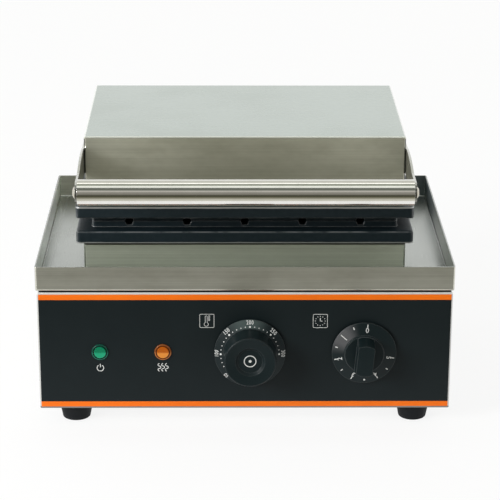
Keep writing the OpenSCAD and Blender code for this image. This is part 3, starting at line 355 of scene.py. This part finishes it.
def brushed_steel(name, colour, level_painted_colour, rough, level_rough, grain=1.0, cloud=0.16,
                  metallic=1.0, one_way=0.0, level_grain_back=False, painted_light=None):
    finish = Finish(name)
    place = finish.place()
    looks = finish.split(finish.facing())
    level = abs(looks[2]).step(0.75, 0.95)
    back = abs(looks[0]) > 0.7
    if level_grain_back:
        back = back.larger(level > 0.5)
    left_to_right = finish.times(place, (along, across, across))
    front_to_rear = finish.times(place, (across, along, across))
    stretched = finish.mix(back, left_to_right, front_to_rear)
    streak = finish.noise(stretched, 1.0, 3.0, 0.6) * 0.5 + finish.noise(stretched, 0.22, 2.0) * 0.5
    wiped = finish.noise(finish.times(place, (1.0, 1.0, 2.2)), 16.0, 4.0, 0.62)
    bevel = finish.soft_edges(0.5 * mm)
    cut = finish.edge_mask(bevel, 6.0)
    bend = finish.between_faces(looks).step(0.004, 0.08).larger(cut)
    # Level faces take a colour of their own: painted light, not another metal
    shade = finish.mix(level, colour, level_painted_colour)
    darker = finish.times(shade, (0.88, 0.88, 0.87))
    lighter = finish.times(shade, (1.12, 1.12, 1.13))
    shade = finish.mix((streak - 0.5) * (1 - level * 0.75) * 2.2 * grain + 0.5, darker, lighter)
    dull = wiped.step(0.38, 0.72) * (1 - level * 0.8) * cloud
    shade = finish.mix(dull, shade, finish.times(shade, (0.45, 0.45, 0.38)))
    # Sharp edges and the upper half of each bend are lightened: a painted highlight, with some wear
    wear_and_highlight = (cut * 0.6).larger(bend * looks[2].step(0.3, 0.8) * 0.8)
    shade = finish.mix(wear_and_highlight, shade, (0.86, 0.88, 0.85))
    if painted_light:
        shade = painted_light(finish, shade, finish.split(place), looks)
    even = rough + level * (level_rough - rough)
    return finish.surface(
        base_color=shade, metallic=metallic - (cut * 0.35).larger(wear_and_highlight * 0.5),
        anisotropic=one_way, anisotropic_rotation=0.25,
        roughness=(even + (streak - 0.5) * 0.12 * grain + (wiped - 0.5) * 0.08) * (1 - bend * 0.55),
        normal=finish.bump(streak * (1 - level * 0.85), grain_depth, 0.3 * grain, bevel))


print("brushed steel: grain", round(across / along), "times longer than wide")

# %% [markdown]
# Some sheets need painted light. In the tray, the walls on the right and at the rear are painted
# dark, a painted reflection of the dark side of the room, and the left wall paler, a painted
# reflection of the bright one. The side creases carry a painted line of shade, the underside is
# painted dark as shade, and the rear bend carries a painted highlight. The base has a painted
# highlight over its printed film and painted shade on the edge below it, and its deck, which
# never sees light, is painted nearly black as shade. These could be maps painted by hand, but a
# place and a direction say each of them in a line or two.

# %% Painted light on the tray and the base
def turned_to(direction):
    return direction.step(0.5, 0.9)


def tray_tone(finish, shade, place, looks):
    x, y, z = place
    rightward, _, upward = looks
    forward = 0 - looks[1]
    deeper_to_rear = y.step(30 * mm, 100 * mm) * 0.5 + 0.5
    right_wall = turned_to(0 - rightward) * (x > 0) * deeper_to_rear
    rear_wall = turned_to(forward) * (y > 0) * x.step(-120 * mm, 100 * mm)
    # Painted reflections: the right and rear walls darkened, the left wall lightened
    shade = finish.mix(right_wall.larger(rear_wall) * 0.85, shade, (0.11, 0.155, 0.18))
    left_wall = turned_to(rightward) * (x < 0)
    shade = finish.mix(left_wall, shade, finish.times(shade, (1.26, 1.30, 1.42)))
    low = 1 - z.step(tray_low.z + 3.4 * mm, tray_low.z + 4.0 * mm)
    sideways = (abs(rightward) > abs(looks[1])) * abs(rightward).step(0.15, 0.3)
    crease = low * sideways * (abs(x) < tray_high.x - 0.7 * mm)
    underside = turned_to(0 - upward)
    # Painted shade in the side creases and on the underside
    shade = finish.mix((crease * 0.75).larger(underside * 0.9), shade, (0.06, 0.06, 0.055))
    # Painted highlight on the rear bend
    rear_bend = low * forward.step(0.25, 0.4) * upward.step(0.25, 0.4) * (y > 0)
    return finish.mix(rear_bend, shade, (0.85, 0.88, 0.86))


def deck_tone(finish, shade, place, looks):
    film_low, film_high = (corner.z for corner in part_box("fascia_stripes"))
    # Painted highlight above the film, painted shade below it and on the deck that never sees light
    front = (0 - looks[1]).step(0.3, 0.6)
    shade = finish.mix(front * (place[2] > film_high), shade, (0.92, 0.92, 0.90))
    shade = finish.mix(front * (place[2] < film_low) * 0.8, shade, (0.16, 0.155, 0.145))
    return finish.mix(looks[2].step(0.95, 0.99) * 0.95, shade, (0.015, 0.015, 0.014))


steel = {
    "base": brushed_steel(
        "base steel", colour=(0.60, 0.60, 0.585), level_painted_colour=(0.66, 0.66, 0.62),
        rough=0.32, level_rough=0.28, metallic=0.6, painted_light=deck_tone),
    "tray": brushed_steel(
        "tray steel", colour=(0.65, 0.65, 0.58), level_painted_colour=(0.41, 0.43, 0.405),
        rough=0.40, level_rough=0.26, grain=1.3, cloud=0.30, one_way=0.9,
        level_grain_back=True, painted_light=tray_tone),
}
print("steel finishes:", sorted(steel))

# %% [markdown]
# The casing carries a painted shadow just under the plate. The arms are painted darker, as
# shade, on their front and on the sides that face each other. The lid is painted darker in the
# middle of its front, as shade, and its folded corners show a painted dark line of shade that
# ends a little below the top. All of this is said by place and direction again, measured from
# the edges of the piece itself.

# %% Painted shade on the casing, the arms and the lid
def casing_tone(finish, shade, place, looks):
    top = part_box("lower_casing")[1].z
    # Painted shadow under the overhanging plate
    shadow_under_plate = place[2].step(top - 3.9 * mm, top - 3.4 * mm)
    return finish.mix(shadow_under_plate * 0.95, shade, (0.035, 0.034, 0.028))


def arm_tone(finish, shade, place, looks):
    inner = (place[0] * looks[0] < 0) * turned_to(abs(looks[0]))
    front = (0 - looks[1]).step(0.2, 0.6)
    # Painted shade on the inner sides and the front
    return finish.mix(inner.larger(front) * 0.8, shade, (0.13, 0.13, 0.115))


def lid_tone(finish, shade, place, looks):
    forward = 0 - looks[1]
    middle = 1 - abs(place[0]).step(10 * mm, 120 * mm)
    # Painted shade in the middle of the front
    shade = finish.mix(middle * turned_to(forward) * 0.8, shade, finish.times(shade, (0.70, 0.70, 0.67)))
    side, _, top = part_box("lid_cover")[1]
    corner_shade_line = abs(place[0]).step(side - 1.3 * mm, side - 0.9 * mm) * forward.step(0.15, 0.3)
    # Painted dark line of shade at the folded corners
    return finish.mix(corner_shade_line * (place[2] < top - 2.0 * mm) * 0.9, shade, (0.03, 0.03, 0.026))


steel.update({
    "casing": brushed_steel(
        "casing steel", colour=(0.77, 0.82, 0.715), level_painted_colour=(0.6, 0.6, 0.56),
        rough=0.46, level_rough=0.26, painted_light=casing_tone),
    "lid": brushed_steel(
        "lid steel", colour=(0.75, 0.755, 0.655), level_painted_colour=(0.505, 0.56, 0.52),
        rough=0.40, level_rough=0.27, grain=0.8, cloud=0.32, painted_light=lid_tone),
    "arms": brushed_steel(
        "arm steel", colour=(0.62, 0.62, 0.58), level_painted_colour=(0.62, 0.62, 0.58),
        rough=0.30, level_rough=0.28, painted_light=arm_tone),
})
print("steel finishes:", sorted(steel))

# %% [markdown]
# The handle is a polished tube. Polishing leaves hair lines along it that only show in the
# highlights, so the colour stays even and the roughness carries the detail. Zinc plated
# screws and brackets are duller and a little blotchy; bronze, copper and the heat-tinted
# heating elements use the same recipe with other colours, so one function makes them all.

# %% Tube, screws and other bare metals
hair_depth = 0.01 * mm


def bare_metal(name, colour, tint, rough, patch=60.0):
    finish = Finish(name)
    place = finish.place()
    hair = finish.noise(finish.times(place, (4.0, 900.0, 900.0)), 2.0, 2.0, 0.6)
    blotch = finish.noise(place, patch, 3.0, 0.6)
    bevel = finish.soft_edges(0.25 * mm)
    cut = finish.edge_mask(bevel, 6.0)
    shade = finish.mix(blotch.step(0.3, 0.75), colour, tint)
    shade = finish.mix(cut * 0.4, shade, tuple(min(1, c * 1.25) for c in colour))
    return finish.surface(
        base_color=shade, metallic=1.0,
        roughness=rough + (hair - 0.5) * 0.08 + (blotch - 0.5) * 0.08,
        normal=finish.bump(hair, hair_depth, 0.5, bevel))


metal = {
    "polished_steel": bare_metal("polished steel", (0.84, 0.83, 0.79), (0.79, 0.78, 0.74), 0.10),
    "zinc_steel": bare_metal("zinc plate", (0.66, 0.66, 0.63), (0.54, 0.54, 0.51), 0.36, 220.0),
    "cream_zinc": bare_metal("yellow zinc plate", (0.66, 0.63, 0.54), (0.50, 0.46, 0.36), 0.18, 300.0),
    "copper": bare_metal("copper tube", (0.72, 0.40, 0.22), (0.48, 0.25, 0.14), 0.34, 120.0),
    "bronze": bare_metal("bronze bush", (0.66, 0.48, 0.25), (0.52, 0.36, 0.18), 0.32, 160.0),
    "heater_tube": bare_metal("heater tube", (0.42, 0.37, 0.32), (0.30, 0.25, 0.26), 0.42, 50.0),
}
print("bare metals:", sorted(metal))

# %% [markdown]
# The plates are cast and then coated with a dark non-stick layer. A casting keeps the sandy
# skin of its mould under the coat. Modelled grains would be smaller than a pixel, so a fine
# bump at two sizes does that work. Where spatulas and the other plate rub the edges, the coat
# goes grey and smoother, and on the rounded edges this grey is also a painted highlight. A thin
# bright line of pale metal runs round the upright faces of each plate near its back.

# %% Cast plates
def cast_coat(node, back, bare_width):
    finish = Finish(node + " coat")
    place = finish.place()
    sand = finish.noise(place, 1500.0, 2.0)
    lumps = finish.noise(place, 260.0, 3.0)
    wear_and_highlight = finish.noise(place, 55.0, 4.0, 0.65)
    bevel = finish.soft_edges(0.9 * mm)
    looks = finish.split(finish.facing())
    round_edge = finish.between_faces(looks).step(0.14, 0.27) * 0.45
    # Edge wear, and on the rounded edges a painted highlight
    rub_and_highlight = finish.edge_mask(bevel, 5.0).larger(round_edge) * wear_and_highlight.step(0.30, 0.62)
    from_back = abs(finish.split(place)[2] - back) + wear_and_highlight * mm
    upright = 1 - abs(looks[2]).step(0.8, 0.95)
    bare = (1 - from_back.step(bare_width, bare_width + 0.6 * mm)) * upright
    shade = finish.mix(lumps.step(0.3, 0.7), (0.0050, 0.0124, 0.0165), (0.0082, 0.0162, 0.0210))
    shade = finish.mix((rub_and_highlight * 0.8).larger(bare), shade, (0.52, 0.53, 0.53))
    return finish.surface(
        base_color=shade, metallic=(rub_and_highlight * 0.7).larger(bare), specular_ior_level=0.3,
        roughness=0.46 + (lumps - 0.5) * 0.2 + (sand - 0.5) * 0.16 - rub_and_highlight * 0.12,
        normal=finish.bump(sand * 0.4 + lumps * 0.6, 0.08 * mm, 0.5, bevel))


cast = {"lower_plate": cast_coat("lower_plate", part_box("lower_casing")[1].z, 1.2 * mm),
        "upper_plate": cast_coat("upper_plate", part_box("lid_cover")[0].z, 1.6 * mm)}
print("coats:", sorted(cast))

# %% [markdown]
# The front is a printed plastic film: matt black between two orange bands. Film has a fine
# even tooth, like orange peel seen from very near, and takes faint finger marks that are a
# little glossier than the rest. Moulded plastic and rubber have a coarser spark-eroded skin.
# Both skins are too fine to model, so noise stirs the roughness and the normal instead.

# %% Film and moulded plastic
def film(name, colour, tint, rough, gloss):
    finish = Finish(name)
    place = finish.place()
    tooth = finish.noise(place, 2600.0, 1.0)
    marks = finish.noise(place, 22.0, 4.0, 0.6)
    shade = finish.mix(marks.step(0.35, 0.75), colour, tint)
    return finish.surface(
        base_color=shade, specular_ior_level=gloss,
        roughness=rough + (tooth - 0.5) * 0.14 - marks.step(0.55, 0.8) * 0.08,
        normal=finish.bump(tooth, 0.02 * mm, 0.5))


def moulded(name, colour, tint, rough, grain=900.0, depth=0.04 * mm, gloss=0.5):
    finish = Finish(name)
    place = finish.place()
    spark = finish.noise(place, grain, 2.0, 0.6)
    broad = finish.noise(place, 45.0, 3.0)
    bevel = finish.soft_edges(0.4 * mm)
    cut = finish.edge_mask(bevel, 5.0)
    shade = finish.mix(broad.step(0.3, 0.7), colour, tint)
    shade = finish.mix(cut * 0.35, shade, tuple(c * 1.6 + 0.01 for c in colour))
    return finish.surface(
        base_color=shade, specular_ior_level=gloss,
        roughness=rough + (spark - 0.5) * 0.18 + (broad - 0.5) * 0.1,
        normal=finish.bump(spark, depth, 0.5, bevel))


plastic = {
    "black_film": film("black film", (0.0040, 0.0088, 0.0102), (0.0053, 0.0105, 0.0120), 0.50, 0.22),
    "orange_film": film("orange film", (0.90, 0.16, 0.004), (0.95, 0.18, 0.006), 0.45, 0.25),
    "black_plastic": moulded("black plastic", (0.006, 0.0085, 0.009), (0.009, 0.012, 0.0125), 0.40),
    "pale_plastic": moulded("pale plastic", (0.70, 0.66, 0.57), (0.63, 0.59, 0.50), 0.5),
    "rubber": moulded("black rubber", (0.0040, 0.0052, 0.0070), (0.0065, 0.0080, 0.0100), 0.66,
                      grain=500.0, depth=0.08 * mm, gloss=0.22),
}
print("plastics:", sorted(plastic))

# %% [markdown]
# Each light has a coloured clear cap with fine rings moulded inside it, which spread the light
# of the small lamp behind. The rings follow the distance from the cap's own axis, so the
# function asks for that axis. The cap and its collar are painted paler in their lower half, a
# painted glow of light through them, and the groove that parts the cap from its collar is
# painted darker, as shade. Tinted glass could be traced ray by ray, but a cap over an unlit lamp
# looks like one solid colour, so it is opaque, with a clear coat for the gloss of polished
# plastic.

# %% Light caps
def middle_of(node):
    low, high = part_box(node)
    return (low + high) / 2


def from_axis(finish, place, node):
    x, _, z = finish.split(place)
    middle = middle_of(node)
    return x - middle.x, z - middle.z


def ring_distance(aside, over):
    return (aside * aside + over * over) ** 0.5


cap_edge, collar_edge, ring_width = 5.4 * mm, 6.3 * mm, 0.45 * mm


def lens_finish(name, node, groove, collar, deep, pale):
    finish = Finish(name)
    place = finish.place()
    aside, over = from_axis(finish, place, node)
    away = ring_distance(aside, over)
    cloudy = finish.noise(place, 300.0, 2.0)
    # Painted glow: paler in the lower half
    painted_lower_glow = (cloudy * mm - over).step(-0.4 * mm, 1.6 * mm)
    shade = finish.mix(painted_lower_glow, deep, pale)
    on_collar = away.step(collar_edge, collar_edge + 0.6 * mm) * (painted_lower_glow * 0.6 + 0.4)
    off_cap = away.step(cap_edge, cap_edge + 0.4 * mm)
    # The groove is painted dark as shade
    shade = finish.mix(off_cap, shade, finish.mix(on_collar, groove, collar))
    return finish.surface(
        base_color=shade, specular_ior_level=0.18, coat_weight=0.35, coat_roughness=0.05,
        roughness=0.25 + (cloudy - 0.5) * 0.12,
        normal=finish.bump(away.zigzag(ring_width), 0.04 * mm, 0.3, finish.soft_edges(0.35 * mm)))


lens = {
    "green_lens": lens_finish(
        "green cap", "power_lens", groove=(0.0, 0.016, 0.011), collar=(0.008, 0.13, 0.085),
        deep=(0.0, 0.185, 0.085), pale=(0.004, 0.33, 0.165)),
    "amber_lens": lens_finish(
        "amber cap", "heat_lens", groove=(0.12, 0.020, 0.001), collar=(0.40, 0.14, 0.035),
        deep=(0.44, 0.095, 0.002), pale=(0.72, 0.25, 0.030)),
}
print("caps:", sorted(lens))

# %% [markdown]
# Both dials look spun: fine grooves run round each rim and send the lamp's light back in a
# fan, as on a record. The grooves are noise that only depends on the distance from the
# spindle, and a mask keeps them off the grip in the middle. The fan could be left to the
# shader, but grooves this fine are lost between two pixels, so it is a painted sheen, a paler
# share of the colour around one angle. The edges are rubbed smooth by fingers, and their
# colour is lightened as a painted highlight.

# %% Spun dials
def spun_dial(name, node, start, sheen_at, sheen):
    finish = Finish(name)
    place = finish.place()
    aside, over = from_axis(finish, place, node)
    away = ring_distance(aside, over)
    turn = aside.angle_over(over) - math.radians(sheen_at)
    turned = abs(turn.to_half_turn())
    groove = finish.noise(finish.node("ShaderNodeCombineXYZ", None, {"X": away}), 2600.0, 2.0, 0.7)
    spark = finish.noise(place, 900.0, 2.0, 0.6)
    rim = away.step(start, start + 0.3 * mm)
    painted_sheen_fan = rim * (1 - turned.step(0.15, 0.75)) * (groove * 1.1 + 0.2)
    bevel = finish.soft_edges(0.8 * mm)
    cut = finish.edge_mask(bevel, 6.0)
    shade = finish.mix(rim * groove, (0.0050, 0.0115, 0.0130), (0.0085, 0.0150, 0.0165))
    # Painted sheen in a fan, and below it a painted highlight along the edges
    shade = finish.mix(painted_sheen_fan, shade, sheen)
    shade = finish.mix(cut * 0.85, shade, (0.095, 0.104, 0.106))
    return finish.surface(
        base_color=shade, specular_ior_level=0.2,
        roughness=0.42 + (spark - 0.5) * 0.16 - cut * 0.22,
        normal=finish.bump(groove * rim * 0.8 + spark * (1 - rim) * 0.5, 0.04 * mm, 0.5, bevel))


dial = {
    "timer_knob": spun_dial(
        "spun timer dial", "timer_knob", start=18.6 * mm, sheen_at=-52, sheen=(0.130, 0.130, 0.136)),
    "thermostat_knob": spun_dial(
        "spun thermostat dial", "thermostat_knob", start=25.2 * mm, sheen_at=-4,
        sheen=(0.078, 0.106, 0.102)),
}
print("dials:", sorted(dial))

# %% [markdown]
# The pads between plates and sheets are mineral wool, which nobody sees until the machine is
# taken apart. Wool is fibres that cross, and the larger of two noises that are stretched in
# two directions suggests them without a single strand being modelled.

# %% Wool pads
def wool_pad():
    finish = Finish("mineral wool")
    place = finish.place()
    lengthwise = finish.noise(finish.times(place, (40.0, 900.0, 900.0)), 1.0, 3.0)
    crosswise = finish.noise(finish.times(place, (900.0, 40.0, 900.0)), 1.0, 3.0)
    fibre = lengthwise.larger(crosswise)
    shade = finish.mix(fibre.step(0.45, 0.75), (0.62, 0.56, 0.42), (0.84, 0.79, 0.66))
    return finish.surface(
        base_color=shade, roughness=0.85 + (fibre - 0.5) * 0.2,
        normal=finish.bump(fibre, 0.6 * mm, 0.8))


wool = wool_pad()
print("pads:", wool.name)

# %% [markdown]
# Each packed node says in the record which finish slot it belongs to. Most nodes take the
# finish of their slot; some sheets, the plates, the handle's screws and the two dials differ
# from piece to piece, so they are named one by one. A node's mesh keeps its shape, only its
# material slots change.

# %% Put the finishes on
by_slot = {**metal, **plastic, **lens, "wool": wool,
           "steel_sheet": steel["base"], "lid_sheet": steel["lid"]}
by_node = {**cast, **dial, "handle_screws": metal["cream_zinc"],
           "drip_tray": steel["tray"], "lower_casing": steel["casing"],
           "handle_arm_left": steel["arms"], "handle_arm_right": steel["arms"]}
for row in frame["record"]["subparts"]:
    data = nodes[row["node"]].data
    data.materials.clear()
    data.materials.append(by_node.get(row["node"]) or by_slot[row["material_slot"]])

# %% [markdown]
# Marks are silk-screened ink. A picture texture could carry them, but ink with its own thin
# body stays sharp at any distance and moves with its dial, so each mark is a closed slab a
# few hundredths of a millimetre thick. Outlines are drawn flat, in millimetres, and a matrix
# sets them on the panel or on the slope of a dial.

# %% Flat outlines for the marks
def bar(x0, y0, x1, y1, width):
    side = Vector((y0 - y1, x1 - x0)).normalized() * width / 2
    start, end = Vector((x0, y0)), Vector((x1, y1))
    return [start + side, end + side, end - side, start - side]


def arc(cx, cy, radius, width, start=0.0, end=360.0, steps=40):
    angles = [math.radians(start + (end - start) * i / steps) for i in range(steps + 1)]
    outer, inner = ([Vector((cx + math.cos(a) * r, cy + math.sin(a) * r)) for a in angles]
                    for r in (radius + width / 2, radius - width / 2))
    return [[outer[i], outer[i + 1], inner[i + 1], inner[i]] for i in range(steps)]


def disc(radius, steps):
    return [Vector((math.cos(t) * radius, math.sin(t) * radius))
            for t in (2 * math.pi * i / steps for i in range(steps))]


def box_frame(size, width, corner=1.0):
    edge = size / 2
    bend = edge - corner
    sides = [bar(-bend, -edge, bend, -edge, width), bar(edge, -bend, edge, bend, width),
             bar(bend, edge, -bend, edge, width), bar(-edge, bend, -edge, -bend, width)]
    corners = (bend, bend), (-bend, bend), (-bend, -bend), (bend, -bend)
    bends = [quad for i, (x, y) in enumerate(corners)
             for quad in arc(x, y, corner, width, 90 * i, 90 * i + 90, 6)]
    return sides + bends


print("outlines: bar, arc, disc and frame")

# %% Slabs of ink
ink_proud, ink_sunk = 0.05, 0.02
digit_swell = 0.05


def slab(mesh, outline, place):
    rings = [[mesh.verts.new(place @ Vector((p.x * mm, p.y * mm, h * mm))) for p in outline]
             for h in (-ink_sunk, ink_proud)]
    mesh.faces.new(rings[1])
    mesh.faces.new(rings[0][::-1])
    for i in range(len(outline)):
        j = (i + 1) % len(outline)
        mesh.faces.new([rings[0][i], rings[0][j], rings[1][j], rings[1][i]])


def digit_mesh(digit, size):
    curve = bpy.data.curves.new("digit", "FONT")
    curve.body, curve.size = digit, size
    curve.align_x, curve.align_y = "CENTER", "CENTER"
    curve.extrude = (ink_proud + ink_sunk) / 2
    curve.resolution_u = 4
    curve.offset = digit_swell
    holder = bpy.data.objects.new("digit", curve)
    scene.collection.objects.link(holder)
    made = bpy.data.meshes.new_from_object(holder.evaluated_get(bpy.context.evaluated_depsgraph_get()))
    bpy.data.objects.remove(holder)
    bpy.data.curves.remove(curve)
    return made


def numbered(mesh, digit, size, narrow, place):
    made = digit_mesh(digit, size)
    lifted = Matrix.Translation((0, 0, (ink_proud - ink_sunk) / 2))
    made.transform(Matrix.Diagonal((narrow * mm, mm, mm, 1)) @ lifted)
    made.transform(place)
    mesh.from_mesh(made)
    bpy.data.meshes.remove(made)


print("ink stands", ink_proud, "mm proud")


# %% White ink
def ink(name, colour, faded):
    finish = Finish(name)
    place = finish.place()
    grainy = finish.noise(place, 1800.0, 2.0)
    patchy = finish.noise(place, 160.0, 2.0)
    shade = finish.mix(patchy.step(0.35, 0.75) * 0.7, colour, faded)
    return finish.surface(
        base_color=shade, roughness=0.5 + (grainy - 0.5) * 0.2,
        normal=finish.bump(grainy, 0.01 * mm, 0.4))


white_ink = ink("white ink", (0.72, 0.73, 0.72), (0.60, 0.61, 0.60))


def printed(name, mesh, body):
    bmesh.ops.remove_doubles(mesh, verts=mesh.verts, dist=mm / 1000)
    bmesh.ops.recalc_face_normals(mesh, faces=mesh.faces)
    data = bpy.data.meshes.new(name)
    mesh.to_mesh(data)
    mesh.free()
    piece = bpy.data.objects.new(name, data)
    scene.collection.objects.link(piece)
    data.materials.append(white_ink)
    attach(piece, body)
    print(name, "faces:", len(data.polygons))


print("ink:", white_ink.name)

# %% [markdown]
# Each dial's scale stands on a sloping rim and turns with it. The rim is a cone, so every mark
# gets its own small frame: up the slope, along the rim, and square to the face. The digits of
# one number are set apart one by one, so that the number bends round the rim. Flat marks could
# be shrunk onto the rim by a modifier, but a frame for each of them keeps every slab closed. A
# rim is given by two points of its slope, each a radius and a height in millimetres.

# %% Frames on a dial
def dial_frame(node, angle, radius, height, slope=0.0):
    centre = middle_of(node)
    centre.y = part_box(node)[1].y
    bearing = math.radians(angle)
    out = Vector((math.sin(bearing), 0, math.cos(bearing)))
    fore = Vector((0, -1, 0))
    up = out * math.cos(slope) - fore * math.sin(slope)
    normal = out * math.sin(slope) + fore * math.cos(slope)
    turn = Matrix((up.cross(normal), up, normal)).transposed().to_4x4()
    return Matrix.Translation(centre + out * radius * mm + fore * height * mm) @ turn


def rim_frames(node, outer, inner):
    slope = math.atan2(inner[1] - outer[1], outer[0] - inner[0])

    def on_rim(angle, radius):
        height = outer[1] + (outer[0] - radius) * math.tan(slope)
        return dial_frame(node, angle, radius, height, slope)

    print(node, "rim slopes by", round(math.degrees(slope), 1), "degrees")
    return on_rim


on_thermostat = rim_frames("thermostat_knob", (32.5, 1.6), (24.7, 5.0))
on_timer = rim_frames("timer_knob", (29.5, 1.6), (18.2, 4.0))

# %% Thermostat scale
top_degrees, turn_per_degree, digit_turn = 200, 0.9, 4.4
dots_at, small_dot, number_dot = 26.7, 0.5, 0.95
numbers_at, number_height, number_narrow = 30.3, 5.4, 0.72
off_angle, off_at, off_dot = -158, 30.6, 0.75
marks = bmesh.new()
for degrees in range(50, 301, 10):
    angle = (degrees - top_degrees) * turn_per_degree
    number = str(degrees) if degrees % 50 == 0 else ""
    slab(marks, disc(number_dot if number else small_dot, 14), on_thermostat(angle, dots_at))
    for i, digit in enumerate(number):
        aside = (i - (len(number) - 1) / 2) * digit_turn
        numbered(marks, digit, number_height, number_narrow, on_thermostat(angle + aside, numbers_at))
slab(marks, disc(off_dot, 14), on_thermostat(off_angle, off_at))
printed("thermostat_scale", marks, "thermostat_dial")

# %% Ring and dot in the middle of the thermostat knob
hub_height, hub_ring, hub_line, hub_dot = 21.4, 5.3, 0.8, 1.3
hub = bmesh.new()
hub_face = dial_frame("thermostat_knob", 0, 0, hub_height)
for quad in arc(0, 0, hub_ring, hub_line):
    slab(hub, quad, hub_face)
slab(hub, disc(hub_dot, 28), hub_face)
printed("thermostat_hub_mark", hub, "thermostat_dial")

# %% [markdown]
# The timer counts five minutes against the clock. Every minute has a tick at the edge and its
# digit below it, with a plain stroke for one. Half minutes have a shorter tick, apart from the
# fourth, which is a dot.

# %% Timer scale
zero_angle, minute_start, minute_turn = 6.0, 2.0, -52.4
ticks_at, stroke_at, digits_at, halves_at, dot_at = 26.6, 23.2, 22.6, 26.1, 26.2
digit_height, digit_narrow = 6.3, 0.95
minutes = [zero_angle] + [minute_start + minute_turn * minute for minute in range(1, 6)]
marks = bmesh.new()
for minute, angle in enumerate(minutes):
    slab(marks, bar(0, -1.4, 0, 1.4, 0.8), on_timer(angle, ticks_at))
    if minute == 1:
        slab(marks, bar(0, -2.4, 0, 2.2, 0.8), on_timer(angle, stroke_at))
    else:
        numbered(marks, str(minute), digit_height, digit_narrow, on_timer(angle, digits_at))
    half = (angle + minutes[minute - 1]) / 2
    if minute == 4:
        slab(marks, disc(0.9, 16), on_timer(half, dot_at))
    elif minute > 0:
        slab(marks, bar(0, -1.2, 0, 1.2, 0.9), on_timer(half, halves_at))
printed("timer_scale", marks, "timer_dial")

# %% [markdown]
# Beside each dial the panel has a small framed picture of what the dial sets: a thermometer
# and a clock. Under each light stands a plain sign, a power sign for the mains light and three
# rising waves for the heating light. All of them are placed from the part they belong to.

# %% Pictures and signs
fine, bold = 0.42, 0.7


def thermometer():
    stem_x, bulb_y, top_y, stem_r = -0.6, -3.3, 4.0, 0.9
    bulb = arc(stem_x, bulb_y, 1.9, fine, 118, 422)
    walls = [bar(x, -1.7, x, top_y, fine) for x in (stem_x - stem_r, stem_x + stem_r)]
    end = arc(stem_x, top_y, stem_r, fine, 0, 180, 12)
    ticks = [bar(1.2, y, 2.9, y, 0.5) for y in (0.4, 1.5, 2.6, 3.7, 4.8)]
    return bulb + walls + end + ticks


def clock():
    hours = [math.radians(30 * hour) for hour in range(12)]
    ticks = [bar(4.1 * math.sin(a), 4.1 * math.cos(a), 4.9 * math.sin(a), 4.9 * math.cos(a), 0.6)
             for a in hours]
    hands = [bar(0, -0.5, 0, 2.9, bold), bar(-0.35, -0.1, 1.9, -0.1, bold)]
    return ticks + hands


def power_sign():
    return arc(0, 0, 3.0, bold, 122, 418) + [bar(0, 0.6, 0, 4.0, bold)]


def heat_waves():
    return [quad for x in (-3.4, 0.0, 3.4) for y, start in ((-1.9, 90), (0.6, -90), (3.1, 90))
            for quad in arc(x, y, 1.25, bold, start, start + 180, 12)]


print("signs:", len(thermometer()) + len(clock()) + len(power_sign()) + len(heat_waves()), "slabs")

# %% Panel marks
picture_size, sign_drop = 13.0, -15.8
panel = bmesh.new()


def draw(near, right_of, over, shapes):
    spot = middle_of(near) + Vector((right_of, 0, over)) * mm
    spot.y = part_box("front_fascia")[0].y
    upright = Matrix(((1, 0, 0), (0, 0, -1), (0, 1, 0))).to_4x4()
    for shape in shapes:
        slab(panel, shape, Matrix.Translation(spot) @ upright)


draw("thermostat_knob", -39.2, 30.4, box_frame(picture_size, fine) + thermometer())
draw("timer_knob", -40.4, 30.2, box_frame(picture_size, fine) + clock())
draw("power_lens", 0, sign_drop, power_sign())
draw("heat_lens", 0, sign_drop, heat_waves())
printed("panel_marks", panel, "base")

# %% [markdown]
# The marks are thinner than a coat of paint, so the dressed machine may not be larger than
# the solids it is built on. The last step sets the plain view transform.

scene.view_settings.view_transform = "Standard"
